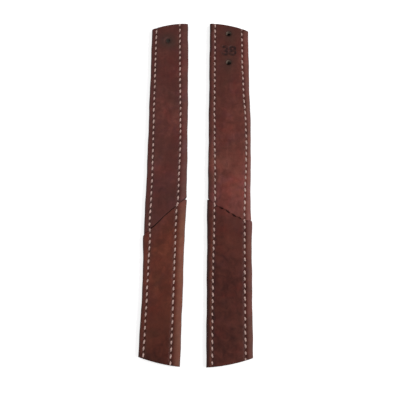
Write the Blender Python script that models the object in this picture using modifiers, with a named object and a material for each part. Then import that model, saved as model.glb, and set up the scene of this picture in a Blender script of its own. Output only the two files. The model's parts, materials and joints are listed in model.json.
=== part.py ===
"""A pair of saddle-stitched leather straps, lying face up side by side.

Each strap is a face leather and a lining leather, sewn together round a flat core web. The cover is cut
right across on a diagonal splice, and the web runs through it unbroken. Below the splice the strap can be
bent up. +Y runs up the straps, +Z is the side that shows, and the straps lie on Z = 0. All sizes in metres.
"""
import math
from dataclasses import dataclass

import bmesh
import bpy

# Ends of the pair: two arcs, with their crests on one line between the straps
END_CREST_X = -0.0020
TOP_END_Y = 0.1307
TOP_END_RADIUS = 0.105
BOTTOM_END_Y = -0.107
BOTTOM_END_RADIUS = 0.107

# Layers of a strap
FACE_THICKNESS = 0.0022
LINING_THICKNESS = 0.0022
LAYER_GAP = 0.0003
EDGE_ROUND = 0.0012

# Core web, in a channel of the lining between the stitch rows
WEB_ROW_CLEARANCE = 0.0025
WEB_THICKNESS = 0.001
WEB_CLEARANCE = 0.0003

# Saddle stitch
STITCH_PITCH = 0.00423
THREAD_DIAMETER = 0.0008
THREAD_CLEARANCE = 0.0001
FACE_GROOVE_DEPTH = 0.0005
LINING_GROOVE_RELIEF = 0.0001
GROOVE_SIDE_ROOM = 0.0002
END_STITCH_MARGIN = 0.0016
STRAND_END_MARGIN = 0.0004
WANDER_LENGTH = 0.040

# Splice
SPLICE_GAP = 0.0005
FLARE_LENGTH = 0.015
SWELL_LENGTH = 0.030

# Punched holes
PUNCH_DIAMETER = 0.0039
PUNCH_END_MARGIN = 0.0065
PUNCH_SPACING = 0.0222
PUNCH_OFFSET = -0.0003
PRICK_DIAMETER = 0.0029
PRICK_END_MARGIN = 0.0124
PRICK_OFFSET = 0.0011
PRICK_DEPTH = 0.0010

# Left strap
LEFT_OFFSET = 0.0228
LEFT_LEAN = math.radians(-1.18)
LEFT_BOW = 0.00115
LEFT_TOP_WIDTH = 0.0255
LEFT_SPLICE_WIDTH = 0.0272
LEFT_LOWER_WIDTH = 0.0256
LEFT_BOTTOM_WIDTH = 0.0262
LEFT_INNER_FLARE = 0.0010
LEFT_OUTER_FLARE = 0.0014
LEFT_SWELL = 0.0002
LEFT_SWELL_Y = 0.070
LEFT_INNER_MARGIN = 0.0059
LEFT_INNER_WANDER = 0.0010
LEFT_INNER_WANDER_Y = 0.046
LEFT_OUTER_MARGIN = 0.0032
LEFT_OUTER_WANDER = -0.0005
LEFT_OUTER_WANDER_Y = 0.014
LEFT_SPLICE_Y = -0.0022
LEFT_SPLICE_INNER_ANGLE = math.radians(36)
LEFT_SPLICE_OUTER_ANGLE = math.radians(44)
LEFT_SPLICE_EDGE_ANGLE = math.radians(38)

# Right strap
RIGHT_OFFSET = 0.0190
RIGHT_LEAN = math.radians(0.533)
RIGHT_BOW = 0.0001
RIGHT_TOP_WIDTH = 0.0272
RIGHT_SPLICE_WIDTH = 0.0283
RIGHT_LOWER_WIDTH = 0.0289
RIGHT_BOTTOM_WIDTH = 0.0292
RIGHT_INNER_FLARE = 0.0002
RIGHT_OUTER_FLARE = 0.0005
RIGHT_SWELL = 0.0008
RIGHT_SWELL_Y = 0.048
RIGHT_INNER_MARGIN = 0.0037
RIGHT_INNER_WANDER = -0.0010
RIGHT_INNER_WANDER_Y = 0.001
RIGHT_OUTER_MARGIN = 0.0048
RIGHT_OUTER_WANDER = 0.0016
RIGHT_OUTER_WANDER_Y = 0.036
RIGHT_SPLICE_Y = -0.0027
RIGHT_SPLICE_INNER_ANGLE = math.radians(41)
RIGHT_SPLICE_OUTER_ANGLE = math.radians(30)
RIGHT_SPLICE_EDGE_ANGLE = math.radians(-6)

# Fineness of the outlines
EDGE_STATIONS = 8
END_STATIONS = 5
HOLE_SIDES = 16
CUT_OVERRUN = 0.003

# Heights that follow from the layers
LINING_TOP = LINING_THICKNESS
WEB_TOP = LINING_TOP
FACE_BOTTOM = LINING_TOP + LAYER_GAP
FACE_TOP = FACE_BOTTOM + FACE_THICKNESS
CHANNEL_DEPTH = WEB_THICKNESS + WEB_CLEARANCE
THREAD_RADIUS = THREAD_DIAMETER / 2
LINING_GROOVE_DEPTH = LINING_GROOVE_RELIEF + THREAD_DIAMETER + THREAD_CLEARANCE
THREAD_FRONT_Z = FACE_TOP - FACE_GROOVE_DEPTH + THREAD_CLEARANCE + THREAD_RADIUS
THREAD_BACK_Z = LINING_GROOVE_DEPTH - THREAD_CLEARANCE - THREAD_RADIUS
STRAND_OFFSET = (THREAD_DIAMETER + THREAD_CLEARANCE) / 2
STITCH_HOLE_HALF_WIDTH = STRAND_OFFSET + THREAD_RADIUS + THREAD_CLEARANCE
STITCH_HOLE_HALF_LENGTH = THREAD_RADIUS + THREAD_CLEARANCE
GROOVE_HALF_WIDTH = STITCH_HOLE_HALF_WIDTH + GROOVE_SIDE_ROOM
BEND_HEIGHT = THREAD_FRONT_Z + THREAD_RADIUS
HALF_LENGTH = (TOP_END_Y - BOTTOM_END_Y) / 2
SPLICE_STITCH_MARGIN = (STITCH_PITCH - SPLICE_GAP) / 2

INNER = -1
OUTER = 1
UPPER = 1
LOWER = -1
ROW_NAMES = {INNER: "inner", OUTER: "outer"}
HALF_NAMES = {UPPER: "upper", LOWER: "lower"}


@dataclass(frozen=True)
class Row:
    """One stitch row: its distance from the edge, and how far and where the hand strayed towards the edge."""
    margin: float
    wander: float
    wander_y: float


@dataclass(frozen=True)
class Strap:
    """The sizes of one strap. Outward means away from the other strap."""
    name: str
    side: int
    offset: float
    lean: float
    bow: float
    top_width: float
    splice_width: float
    lower_width: float
    bottom_width: float
    flares: dict
    swell: float
    swell_y: float
    rows: dict
    splice_knee_y: float
    splice_inner_angle: float
    splice_outer_angle: float
    splice_edge_angle: float


LEFT = Strap(
    "left", -1, LEFT_OFFSET, LEFT_LEAN, LEFT_BOW,
    LEFT_TOP_WIDTH, LEFT_SPLICE_WIDTH, LEFT_LOWER_WIDTH, LEFT_BOTTOM_WIDTH,
    {INNER: LEFT_INNER_FLARE, OUTER: LEFT_OUTER_FLARE}, LEFT_SWELL, LEFT_SWELL_Y,
    {INNER: Row(LEFT_INNER_MARGIN, LEFT_INNER_WANDER, LEFT_INNER_WANDER_Y),
     OUTER: Row(LEFT_OUTER_MARGIN, LEFT_OUTER_WANDER, LEFT_OUTER_WANDER_Y)},
    LEFT_SPLICE_Y, LEFT_SPLICE_INNER_ANGLE, LEFT_SPLICE_OUTER_ANGLE, LEFT_SPLICE_EDGE_ANGLE)
RIGHT = Strap(
    "right", 1, RIGHT_OFFSET, RIGHT_LEAN, RIGHT_BOW,
    RIGHT_TOP_WIDTH, RIGHT_SPLICE_WIDTH, RIGHT_LOWER_WIDTH, RIGHT_BOTTOM_WIDTH,
    {INNER: RIGHT_INNER_FLARE, OUTER: RIGHT_OUTER_FLARE}, RIGHT_SWELL, RIGHT_SWELL_Y,
    {INNER: Row(RIGHT_INNER_MARGIN, RIGHT_INNER_WANDER, RIGHT_INNER_WANDER_Y),
     OUTER: Row(RIGHT_OUTER_MARGIN, RIGHT_OUTER_WANDER, RIGHT_OUTER_WANDER_Y)},
    RIGHT_SPLICE_Y, RIGHT_SPLICE_INNER_ANGLE, RIGHT_SPLICE_OUTER_ANGLE, RIGHT_SPLICE_EDGE_ANGLE)


# Plan of a strap, seen from above

def line_x(strap, y, outward):
    """X of a line that keeps a distance outward of the strap's centre line."""
    centre = strap.offset + math.tan(strap.lean) * y + strap.bow * (y / HALF_LENGTH) ** 2
    return strap.side * (centre + outward)


def half_width(strap, half, y):
    """Half of the strap's width at one height."""
    if half == UPPER:
        start, stop, end = strap.splice_width, strap.top_width, TOP_END_Y
    else:
        start, stop, end = strap.lower_width, strap.bottom_width, BOTTOM_END_Y
    share = (y - strap.splice_knee_y) / (end - strap.splice_knee_y)
    return (start + share * (stop - start)) / 2


def swelling(strap, half, edge, y):
    """How far the upper length's outer side swells out, part way up."""
    if half == LOWER or edge == INNER:
        return 0.0
    return strap.swell * math.exp(-((y - strap.swell_y) / SWELL_LENGTH) ** 2)


def edge_x(strap, half, edge, y):
    """X of a long edge. The lower length flares where it meets the splice."""
    outward = edge * half_width(strap, half, y) + swelling(strap, half, edge, y)
    if half == LOWER:
        splice_end = meet(lambda y: edge_x(strap, UPPER, edge, y), lambda x: splice_y(strap, x))
        outward += edge * strap.flares[edge] * math.exp(-((splice_end - y) / FLARE_LENGTH) ** 2)
    return line_x(strap, y, outward)


def row_x(strap, half, row, y):
    """X of a stitch row, which keeps its margin from the edge but for the hand's wander."""
    sizes = strap.rows[row]
    strayed = sizes.wander * math.exp(-((y - sizes.wander_y) / WANDER_LENGTH) ** 2)
    outward = row * (half_width(strap, half, y) - sizes.margin + strayed)
    return line_x(strap, y, outward + swelling(strap, half, row, y))


def knee_x(strap):
    """X where the diagonal cut bends, at the inner stitch row."""
    return row_x(strap, UPPER, INNER, strap.splice_knee_y)


def diagonal_y(strap, x):
    """Y of the long straight part of the diagonal cut, or of that line carried on."""
    return strap.splice_knee_y - strap.side * (x - knee_x(strap)) * math.tan(strap.splice_outer_angle)


def outer_knee_x(strap):
    """X where the diagonal cut bends again, at the outer stitch row."""
    y = meet(lambda y: row_x(strap, UPPER, OUTER, y), lambda x: diagonal_y(strap, x))
    return row_x(strap, UPPER, OUTER, y)


def web_x(strap, y):
    """X of the core web's middle, half way between the stitch rows."""
    return line_x(strap, y, (strap.rows[INNER].margin - strap.rows[OUTER].margin) / 2)


def web_width(strap):
    """Width of the core web, which fills the room between the rows but for a clearance."""
    narrowest = min(strap.top_width, strap.splice_width, strap.lower_width)
    return narrowest - strap.rows[INNER].margin - strap.rows[OUTER].margin - 2 * WEB_ROW_CLEARANCE


def splice_y(strap, x):
    """Y of the diagonal cut, which bends a little where it passes each stitch row."""
    knees = {INNER: (knee_x(strap), strap.splice_inner_angle),
             OUTER: (outer_knee_x(strap), strap.splice_edge_angle)}
    for edge, (knee, angle) in knees.items():
        past = strap.side * (x - knee)
        if edge * past > 0:
            return diagonal_y(strap, knee) - past * math.tan(angle)
    return diagonal_y(strap, x)


def end_y(half, x):
    """Y of the end arc."""
    crest, radius = (TOP_END_Y, TOP_END_RADIUS) if half == UPPER else (BOTTOM_END_Y, BOTTOM_END_RADIUS)
    return crest - half * (radius - math.sqrt(radius ** 2 - (x - END_CREST_X) ** 2))


def meet(run_x, boundary_y):
    """Y where a lengthwise line, given as x of y, meets a boundary, given as y of x."""
    y = 0.0
    for _ in range(20):
        y = boundary_y(run_x(y))
    return y


def spread(start, stop, count):
    """Evenly spaced values from start to stop."""
    return [start + (stop - start) * step / (count - 1) for step in range(count)]


def cut_y(strap, half):
    """The boundary of one length at the splice, half a gap from the cut."""
    return lambda x: splice_y(strap, x) + half * SPLICE_GAP / 2


def cover_outline(strap, half):
    """Outline of one length of the cover, from the splice to the end arc and back."""
    runs = {edge: lambda y, edge=edge: edge_x(strap, half, edge, y) for edge in (INNER, OUTER)}
    starts = {edge: meet(runs[edge], cut_y(strap, half)) for edge in runs}
    ends = {edge: meet(runs[edge], lambda x: end_y(half, x)) for edge in runs}
    up = [(runs[INNER](y), y) for y in spread(starts[INNER], ends[INNER], EDGE_STATIONS)]
    across = spread(up[-1][0], runs[OUTER](ends[OUTER]), END_STATIONS)
    arc = [(x, end_y(half, x)) for x in across[1:-1]]
    down = [(runs[OUTER](y), y) for y in spread(ends[OUTER], starts[OUTER], EDGE_STATIONS)]
    knees = [(knee, cut_y(strap, half)(knee)) for knee in (outer_knee_x(strap), knee_x(strap))]
    return up + arc + down + knees


def strip_outline(run_x, half_strip, bottom, top):
    """Outline of a strip along a lengthwise line."""
    stations = spread(bottom, top, EDGE_STATIONS)
    up = [(run_x(y) + half_strip, y) for y in stations]
    return up + [(run_x(y) - half_strip, y) for y in reversed(stations)]


def web_outline(strap):
    """Outline of the core web, cut on the end arcs with the cover."""
    reach = web_width(strap) / 2
    sides = [lambda y, shift=shift: web_x(strap, y) + shift for shift in (-reach, reach)]
    points = []
    for side, order in zip(sides, ((LOWER, UPPER), (UPPER, LOWER))):
        low, high = (meet(side, lambda x, half=half: end_y(half, x)) for half in order)
        points += [(side(y), y) for y in spread(low, high, EDGE_STATIONS)]
    return points


def row_ends(strap, half, row):
    """Heights at which one row meets the splice and the strap's end, in one length."""
    def run(y):
        return row_x(strap, half, row, y)
    return meet(run, cut_y(strap, half)), meet(run, lambda x: end_y(half, x))


def stitch_holes(strap, half, row):
    """Centres of one row's awl holes in one length, from the splice to the end."""
    cut, end = row_ends(strap, half, row)
    first = cut + half * SPLICE_STITCH_MARGIN
    room = abs(end - first) - END_STITCH_MARGIN
    heights = [first + half * STITCH_PITCH * number for number in range(int(room / STITCH_PITCH) + 1)]
    return [(row_x(strap, half, row, y), y) for y in heights]


def punched_holes(strap):
    """Centre, diameter and depth of each punched hole, as x, y, diameter, lowest z."""
    def run(y):
        offset = PUNCH_OFFSET if strap is RIGHT else PRICK_OFFSET
        return line_x(strap, y, offset)
    top = meet(run, lambda x: end_y(UPPER, x))
    if strap is LEFT:
        y = top - PRICK_END_MARGIN
        return [(run(y), y, PRICK_DIAMETER, FACE_TOP - PRICK_DEPTH)]
    heights = (top - PUNCH_END_MARGIN, top - PUNCH_END_MARGIN - PUNCH_SPACING)
    return [(run(y), y, PUNCH_DIAMETER, -CUT_OVERRUN) for y in heights]


def bend_point(strap):
    """Plan point of the bend axis: the upper end of the splice, on the centre line."""
    y = meet(lambda y: edge_x(strap, UPPER, INNER, y), cut_y(strap, UPPER))
    return line_x(strap, y, 0.0), y


def pair_centre():
    """Middle of the pair's box in plan."""
    outlines = [cover_outline(strap, half) for strap in (LEFT, RIGHT) for half in (UPPER, LOWER)]
    points = [point for outline in outlines for point in outline]
    xs = [x for x, y in points]
    ys = [y for x, y in points]
    return (min(xs) + max(xs)) / 2, (min(ys) + max(ys)) / 2


# Building blocks

def clear_scene():
    for item in list(bpy.data.objects):
        bpy.data.objects.remove(item, do_unlink=True)


def new_collection(name):
    collection = bpy.data.collections.new(name)
    bpy.context.scene.collection.children.link(collection)
    return collection


def material(name, colour, roughness):
    made = bpy.data.materials.new(name)
    made.use_nodes = True
    shader = made.node_tree.nodes["Principled BSDF"]
    shader.inputs["Base Color"].default_value = (*colour, 1.0)
    shader.inputs["Roughness"].default_value = roughness
    shader.inputs["Metallic"].default_value = 0.0
    made.diffuse_color = (*colour, 1.0)
    return made


def empty(name, location, collection, parent=None):
    made = bpy.data.objects.new(name, None)
    made.location = location
    made.parent = parent
    made.empty_display_size = STITCH_PITCH
    collection.objects.link(made)
    return made


def plate_mesh(name, outlines, bottom, top):
    """Mesh of flat outlines filled and raised from bottom to top, with each flat face in one piece."""
    curve = bpy.data.curves.new(name, "CURVE")
    curve.dimensions = "2D"
    curve.fill_mode = "BOTH"
    curve.extrude = (top - bottom) / 2
    for outline in outlines:
        spline = curve.splines.new("POLY")
        spline.points.add(len(outline) - 1)
        for point, (x, y) in zip(spline.points, outline):
            point.co = (x, y, 0.0, 1.0)
        spline.use_cyclic_u = True
    carrier = bpy.data.objects.new(name, curve)
    bpy.context.scene.collection.objects.link(carrier)
    evaluated = carrier.evaluated_get(bpy.context.evaluated_depsgraph_get())
    mesh = bpy.data.meshes.new_from_object(evaluated)
    bpy.data.objects.remove(carrier)
    bpy.data.curves.remove(curve)
    work = bmesh.new()
    work.from_mesh(mesh)
    bmesh.ops.remove_doubles(work, verts=work.verts, dist=1e-6)
    flat = [edge for edge in work.edges if edge.calc_face_angle(1.0) < 1e-4]
    bmesh.ops.dissolve_edges(work, edges=flat, use_verts=False)
    bmesh.ops.recalc_face_normals(work, faces=work.faces)
    bmesh.ops.translate(work, verts=work.verts, vec=(0.0, 0.0, (top + bottom) / 2))
    work.to_mesh(mesh)
    work.free()
    return mesh


def place(name, data, parent, collection, finish=None, drop=0.0):
    """Put data in the scene under an empty, lowered by the empty's own height."""
    made = bpy.data.objects.new(name, data)
    made.parent = parent
    made.location = (0.0, 0.0, -drop)
    if finish:
        data.materials.append(finish)
    collection.objects.link(made)
    return made


def cut(piece, cutter):
    cutter.hide_render = True
    cutter.display_type = "WIRE"
    boolean = piece.modifiers.new(cutter.name, "BOOLEAN")
    boolean.operation = "DIFFERENCE"
    boolean.solver = "EXACT"
    boolean.object = cutter


def round_long_edges(piece, height, lines):
    """Bevel the long edges at one height, as burnished leather edges are rounded."""
    mesh = piece.data
    weights = mesh.attributes.new("bevel_weight_edge", "FLOAT", "EDGE")

    def lies_on(line, vertex):
        x, y, z = vertex.co
        return abs(z - height) < 1e-6 and abs(line(y) - x) < 1e-6
    for edge in mesh.edges:
        ends = [mesh.vertices[index] for index in edge.vertices]
        if any(all(lies_on(line, end) for end in ends) for line in lines):
            weights.data[edge.index].value = 1.0
    bevel = piece.modifiers.new("burnished_edge", "BEVEL")
    bevel.limit_method = "WEIGHT"
    bevel.width = EDGE_ROUND
    bevel.segments = 2


# Pieces of one strap

class StrapMaker:
    """Makes the pieces of one strap about its bend point."""

    def __init__(self, strap, pair, parts, cutters, finishes):
        self.strap = strap
        self.parts = parts
        self.cutters = cutters
        self.finishes = finishes
        self.origin = bend_point(strap)
        x, y = self.origin
        self.base = empty(f"{strap.name}_strap", (x, y, 0.0), parts, pair)
        self.bend = empty(f"{strap.name}_bend", (0.0, 0.0, BEND_HEIGHT), parts, self.base)

    def name(self, words):
        return f"{self.strap.name}_{words}"

    def local(self, points):
        """Plan points counted from the strap's bend point."""
        return [(x - self.origin[0], y - self.origin[1]) for x, y in points]

    def carrier(self, half):
        """The empty that carries one length, and its height."""
        if half == UPPER:
            return self.base, 0.0
        return self.bend, BEND_HEIGHT

    def cutter(self, words, mesh):
        return place(self.name(words), mesh, self.base, self.cutters)

    def stitch_hole_cutter(self, half):
        """Square-cut awl holes, right through face and lining, for both rows of one length."""
        boxes = []
        wide = STITCH_HOLE_HALF_WIDTH
        long = STITCH_HOLE_HALF_LENGTH
        for row in (INNER, OUTER):
            for x, y in self.local(stitch_holes(self.strap, half, row)):
                boxes.append([(x - wide, y - long), (x + wide, y - long),
                              (x + wide, y + long), (x - wide, y + long)])
        mesh = plate_mesh("stitch_holes", boxes, -CUT_OVERRUN, FACE_TOP + CUT_OVERRUN)
        return self.cutter(f"{HALF_NAMES[half]}_stitch_holes", mesh)

    def strip_cutter(self, words, half, lines, half_strip, bottom, top):
        """Grooves or a channel that run past both ends of one length."""
        ys = [y for x, y in cover_outline(self.strap, half)]
        low = min(ys) - CUT_OVERRUN
        high = max(ys) + CUT_OVERRUN
        strips = [self.local(strip_outline(line, half_strip, low, high)) for line in lines]
        return self.cutter(f"{HALF_NAMES[half]}_{words}", plate_mesh(words, strips, bottom, top))

    def punch_cutters(self):
        made = []
        for number, (x, y, diameter, low) in enumerate(punched_holes(self.strap), 1):
            (x, y), = self.local([(x, y)])
            high = FACE_TOP + CUT_OVERRUN
            work = bmesh.new()
            bmesh.ops.create_cone(work, cap_ends=True, segments=HOLE_SIDES, radius1=diameter / 2,
                                  radius2=diameter / 2, depth=high - low)
            bmesh.ops.translate(work, verts=work.verts, vec=(x, y, (high + low) / 2))
            mesh = bpy.data.meshes.new("punch")
            work.to_mesh(mesh)
            work.free()
            made.append(self.cutter(f"punch_{number}", mesh))
        return made

    def layer(self, words, half, bottom, top, rounded, finish):
        """One length of face or lining leather, still without its cuts."""
        parent, drop = self.carrier(half)
        outline = self.local(cover_outline(self.strap, half))
        piece = place(self.name(f"{words}_{HALF_NAMES[half]}"), plate_mesh(words, [outline], bottom, top),
                      parent, self.parts, self.finishes[finish], drop)
        x_shift, y_shift = self.origin
        edges = [lambda y, edge=edge: edge_x(self.strap, half, edge, y + y_shift) - x_shift
                 for edge in (INNER, OUTER)]
        round_long_edges(piece, rounded, edges)
        return piece

    def cover(self):
        """Face and lining of both lengths, with their grooves, channel and holes."""
        strap = self.strap
        web_line = [lambda y: web_x(strap, y)]
        channel_half_width = web_width(strap) / 2 + WEB_CLEARANCE
        punches = self.punch_cutters()
        for half in (UPPER, LOWER):
            rows = [lambda y, row=row: row_x(strap, half, row, y) for row in (INNER, OUTER)]
            face_grooves = self.strip_cutter("face_grooves", half, rows, GROOVE_HALF_WIDTH,
                                             FACE_TOP - FACE_GROOVE_DEPTH, FACE_TOP + CUT_OVERRUN)
            lining_grooves = self.strip_cutter("lining_grooves", half, rows, GROOVE_HALF_WIDTH,
                                               -CUT_OVERRUN, LINING_GROOVE_DEPTH)
            channel = self.strip_cutter("web_channel", half, web_line, channel_half_width,
                                        LINING_TOP - CHANNEL_DEPTH, LINING_TOP + CUT_OVERRUN)
            holes = self.stitch_hole_cutter(half)
            face = self.layer("face", half, FACE_BOTTOM, FACE_TOP, FACE_TOP, "face_leather")
            lining = self.layer("lining", half, 0.0, LINING_TOP, 0.0, "lining_leather")
            face_cuts = [face_grooves, holes]
            lining_cuts = [lining_grooves, channel, holes]
            if half == UPPER:
                face_cuts += punches
                lining_cuts += punches if strap is RIGHT else []
            for cutter in face_cuts:
                cut(face, cutter)
            for cutter in lining_cuts:
                cut(lining, cutter)
        return punches

    def web(self, punches):
        """The unbroken core web, punched through where the strap is."""
        outline = self.local(web_outline(self.strap))
        mesh = plate_mesh("core_web", [outline], WEB_TOP - WEB_THICKNESS, WEB_TOP)
        piece = place(self.name("core_web"), mesh, self.base, self.parts, self.finishes["core_web"])
        if self.strap is RIGHT:
            for cutter in punches:
                cut(piece, cutter)

    def strand_points(self, half, row, strand):
        """Path of one strand from the splice to the end: it changes sides of the strap at every hole,
        opposite to its partner. The second strand lies on the face where the row crosses the splice."""
        strap = self.strap
        cut, end = row_ends(strap, half, row)
        on_face = strand == 1
        points = []

        def add(y, faces):
            """Points at one height, on the face side, the back, or from one to the other."""
            leans_out = on_face == (half == LOWER)
            outward = STRAND_OFFSET if leans_out else -STRAND_OFFSET
            x = row_x(strap, half, row, y) + strap.side * outward
            (x, y), = self.local([(x, y)])
            points.extend((x, y, THREAD_FRONT_Z if face else THREAD_BACK_Z) for face in faces)

        add(cut + half * STRAND_END_MARGIN, [on_face])
        for _, y in stitch_holes(strap, half, row):
            add(y, [on_face, not on_face])
            on_face = not on_face
        on_face = not on_face
        add(end - half * STRAND_END_MARGIN, [not on_face])
        return points

    def strands(self):
        """Both strands of every row of both lengths."""
        for half in (UPPER, LOWER):
            parent, drop = self.carrier(half)
            for row in (INNER, OUTER):
                for strand in (0, 1):
                    points = self.strand_points(half, row, strand)
                    curve = bpy.data.curves.new("strand", "CURVE")
                    curve.dimensions = "3D"
                    curve.bevel_depth = THREAD_RADIUS
                    curve.bevel_resolution = 0
                    curve.use_fill_caps = True
                    spline = curve.splines.new("POLY")
                    spline.points.add(len(points) - 1)
                    for point, place_at in zip(spline.points, points):
                        point.co = (*place_at, 1.0)
                    words = f"{ROW_NAMES[row]}_{HALF_NAMES[half]}_strand_{strand + 1}"
                    place(self.name(words), curve, parent, self.parts, self.finishes["thread"], drop)


def main():
    clear_scene()
    parts = new_collection("leather_strap_pair")
    cutters = new_collection("cutters")
    finishes = {
        "face_leather": material("face_leather", (0.095, 0.032, 0.026), 0.45),
        "lining_leather": material("lining_leather", (0.080, 0.030, 0.022), 0.70),
        "core_web": material("core_web", (0.030, 0.024, 0.022), 0.80),
        "thread": material("thread", (0.480, 0.360, 0.310), 0.65),
    }
    x, y = pair_centre()
    pair = empty("pair", (-x, -y, 0.0), parts)
    for strap in (LEFT, RIGHT):
        maker = StrapMaker(strap, pair, parts, cutters, finishes)
        punches = maker.cover()
        maker.web(punches)
        maker.strands()


main()
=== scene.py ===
import json
import math
import random

import bpy
import numpy as np
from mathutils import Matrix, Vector, noise
from mathutils.bvhtree import BVHTree


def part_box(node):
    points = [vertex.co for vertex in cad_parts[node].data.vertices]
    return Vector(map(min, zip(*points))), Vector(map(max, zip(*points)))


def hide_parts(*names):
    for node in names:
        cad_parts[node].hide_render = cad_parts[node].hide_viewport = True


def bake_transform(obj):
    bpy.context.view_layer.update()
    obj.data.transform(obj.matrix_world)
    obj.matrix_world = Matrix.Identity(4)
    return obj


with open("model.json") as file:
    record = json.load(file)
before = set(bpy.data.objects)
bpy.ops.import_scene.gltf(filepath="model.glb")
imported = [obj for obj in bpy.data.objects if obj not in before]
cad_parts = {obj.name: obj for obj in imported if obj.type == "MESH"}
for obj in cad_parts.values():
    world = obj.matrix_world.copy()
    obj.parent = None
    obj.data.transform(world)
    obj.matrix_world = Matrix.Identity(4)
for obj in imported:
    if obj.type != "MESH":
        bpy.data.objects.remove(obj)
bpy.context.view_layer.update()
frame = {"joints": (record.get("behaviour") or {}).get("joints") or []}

bl_info = {
    "name": "Stitched Strap Pair",
    "version": (1, 0, 0),
    "blender": (4, 5, 0),
    "location": "3D Viewport > Sidebar > Straps",
    "description": "Builds a pair of saddle-stitched leather straps, each spliced on a diagonal",
    "category": "Add Mesh",
}

INNER, OUTER = -1, 1
UPPER, LOWER = 1, -1
SIDES = {"left": -1, "right": 1}
HALF_NAMES = {UPPER: "upper", LOWER: "lower"}
ROW_NAMES = {INNER: "inner", OUTER: "outer"}
MM = 0.001

# Fineness of the meshes
ROUND_STEPS = (22, 42, 58, 72, 83, 90)
END_STEPS = (0.0, 0.05, 0.13, 0.24, 0.38, 0.55)
USUAL_LENGTH = 0.13
FACE_COLUMNS = 64
LINING_COLUMNS = 40
LINING_SPACING = 0.0008
SEAM_COLUMNS = np.linspace(0.94, 0.06, 12)
MEETING_ROUNDS = 20
SETTLING_ROUNDS = 8
STITCH_STEPS = 12
PLY_POINTS = 12
WEB_POINTS = 60
WEB_STATIONS = 480
PUNCH_SIDES = 56
STAMP_CUTS = 2
STAMP_PROBES = 8
MERGE_DISTANCE = 1e-6
LEATHER_SMOOTH, WEB_SMOOTH, THREAD_SMOOTH = 50, 45, 60

# Unevenness of handwork: pairs of wavelength and size along a line, and height, size and seed over a face
EDGE_WAVES = ((0.037, 0.00010), (0.014, 0.00005))
CUT_WAVES = ((0.011, 0.00022), (0.0043, 0.00010))
PULL_WAVES = ((0.031, 0.00014), (0.0087, 0.00010))
LEAST_PULL = -0.00006
SIDEWAYS_STRAY = 0.7
BROAD_RELIEF = (0.00010, 0.017, 3.1)
FINE_RELIEF = (0.00004, 0.0042, 7.7)

# Form of the leather
CROWN_POWER = 0.8
ROLL_POWER = 1.7
END_ROUND, END_DROP = 0.00055, 0.00042
HIDDEN_ROUND, HIDDEN_INSET = 0.00018, 0.00002
FLOOR_CLEARANCE = 0.00002
GROOVE_WIDTH = 0.00085
PIT_WIDTH, PIT_LENGTH, PIT_REACH = 0.80, 0.62, 0.003
RIM_DISH, RIM_DISH_WIDTH = 0.00025, 0.0007
WEB_SIDE_ROOM, WEB_FLOOR_ROOM = 0.0003, 0.0002

# Splice: how deep the nicks run, and how far the cut stands open along it
INNER_NICK_RUN, OUTER_NICK_RUN, OUTER_NICK = 1.9, 1.2, 0.5
LEFT_OPEN, LEFT_OPEN_GAIN, LEFT_OPEN_RUN, LEFT_SHUT = 0.55, 0.55, 0.020, 0.85
DASH_PITCH, DASH_START, DASH_CONTRAST, DASH_BIAS = 0.0041, 0.0031, 1.8, 0.40
DASH_OPEN, BETWEEN_DASHES = 1.75, 0.06
DASH_FADE, DASH_FADE_START, DASH_FADE_RUN = 0.75, 0.013, 0.004

# Painted shade in the creases: strength and width of each
GROOVE_SHADE = (0.26, 0.0009)
PIT_SHADE = (0.42, 0.0009)
CUT_SHADE = (0.8, 0.0005)
LEAST_OPEN_SHADE = 0.10
RIM_SHADE = {"left": (0.50, 0.0009), "right": (0.55, 0.00075)}

# Dye and wear, with painted sheen on the right-hand margins and painted shade on the left-hand side
WEAR_START, WEAR_RUN, WEAR_FADE = 0.10, 0.60, 0.4
LEFT_WEAR_AT_CUT, LEFT_WEAR_RUN = 0.40, 0.018
RIDGE_WIDTH = 0.0009
# Painted shade along the left-hand edge: its reach, and its gain on the lower lengths
EDGE_SHADE_RUN, LOWER_EDGE_SHADE = 0.0020, 1.5
WARMTH_AT_CUT, WARMTH_RUN = 0.45, 0.015
# Painted shade: a browner, darker tint on the left-hand margin, the side away from the key light
SHADE_SIDE_WARMTH, MARGIN_WARMTH_RUN = 0.55, 0.0008
SOIL_AMOUNT = {"left": 0.85, "right": 0.42}
SOIL_REACH = 0.0050
STAIN_DEPTH, STAIN_REACH = 0.10, 0.0062
# Painted highlight on the side of the lip round the small hole that faces the light, with less soil there
LIP_FACING = (-0.82, 0.57)
LIP_FALL = 0.7
LIP_HIGHLIGHT_SOIL_CUT = 0.45

# Punch, stamp and thread
PUNCH_LEAN = (0.13, 0.20)
PUNCH_FOOT, PUNCH_HEAD = 0.31, 0.52
PUNCH_OVERRUN = 0.002
STAMP_DROP = 0.0024
STAMP_REACH = 0.0075
STAMP_SOFTNESS = 0.00028
STROKE_GROWTH = 0.00022
CAP_HEIGHT = 0.70
FRONT_DIVE_POWER, BACK_DIVE_POWER = 1.35, 3.0
FRONT_LIE, BACK_LIE = 0.20, 0.53
STRAND_END_MARGIN = 0.0003
PLY_DEPTH = 0.12

# Core web
WEB_SIDE_POWER, WEB_FACE_POWER = 0.25, 0.35
WARP_RIBS, WARP_DEPTH = 24, 0.10
WEFT_PITCH, WEFT_DEPTH = 0.0016, 0.05

# Bend and stage
BEND_ABOVE, BEND_BELOW = 0.026, 0.034
FLOOR_SIZE = 6.0
KEY_SIZE, KEY_PLACE = 0.60, (0.62, -0.10, 0.52)
FILL_SIZE, FILL_PLACE = 0.80, (-0.60, 0.10, 0.60)
SENSOR_WIDTH = 36.0
NEAR_CLIP = 0.01


# Sizes and colours

def length(name, description, default):
    return bpy.props.FloatProperty(name=name, description=description, default=default, unit="LENGTH",
                                   precision=5)


def angle(name, description, degrees):
    return bpy.props.FloatProperty(name=name, description=description, default=math.radians(degrees),
                                   subtype="ANGLE")


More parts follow.
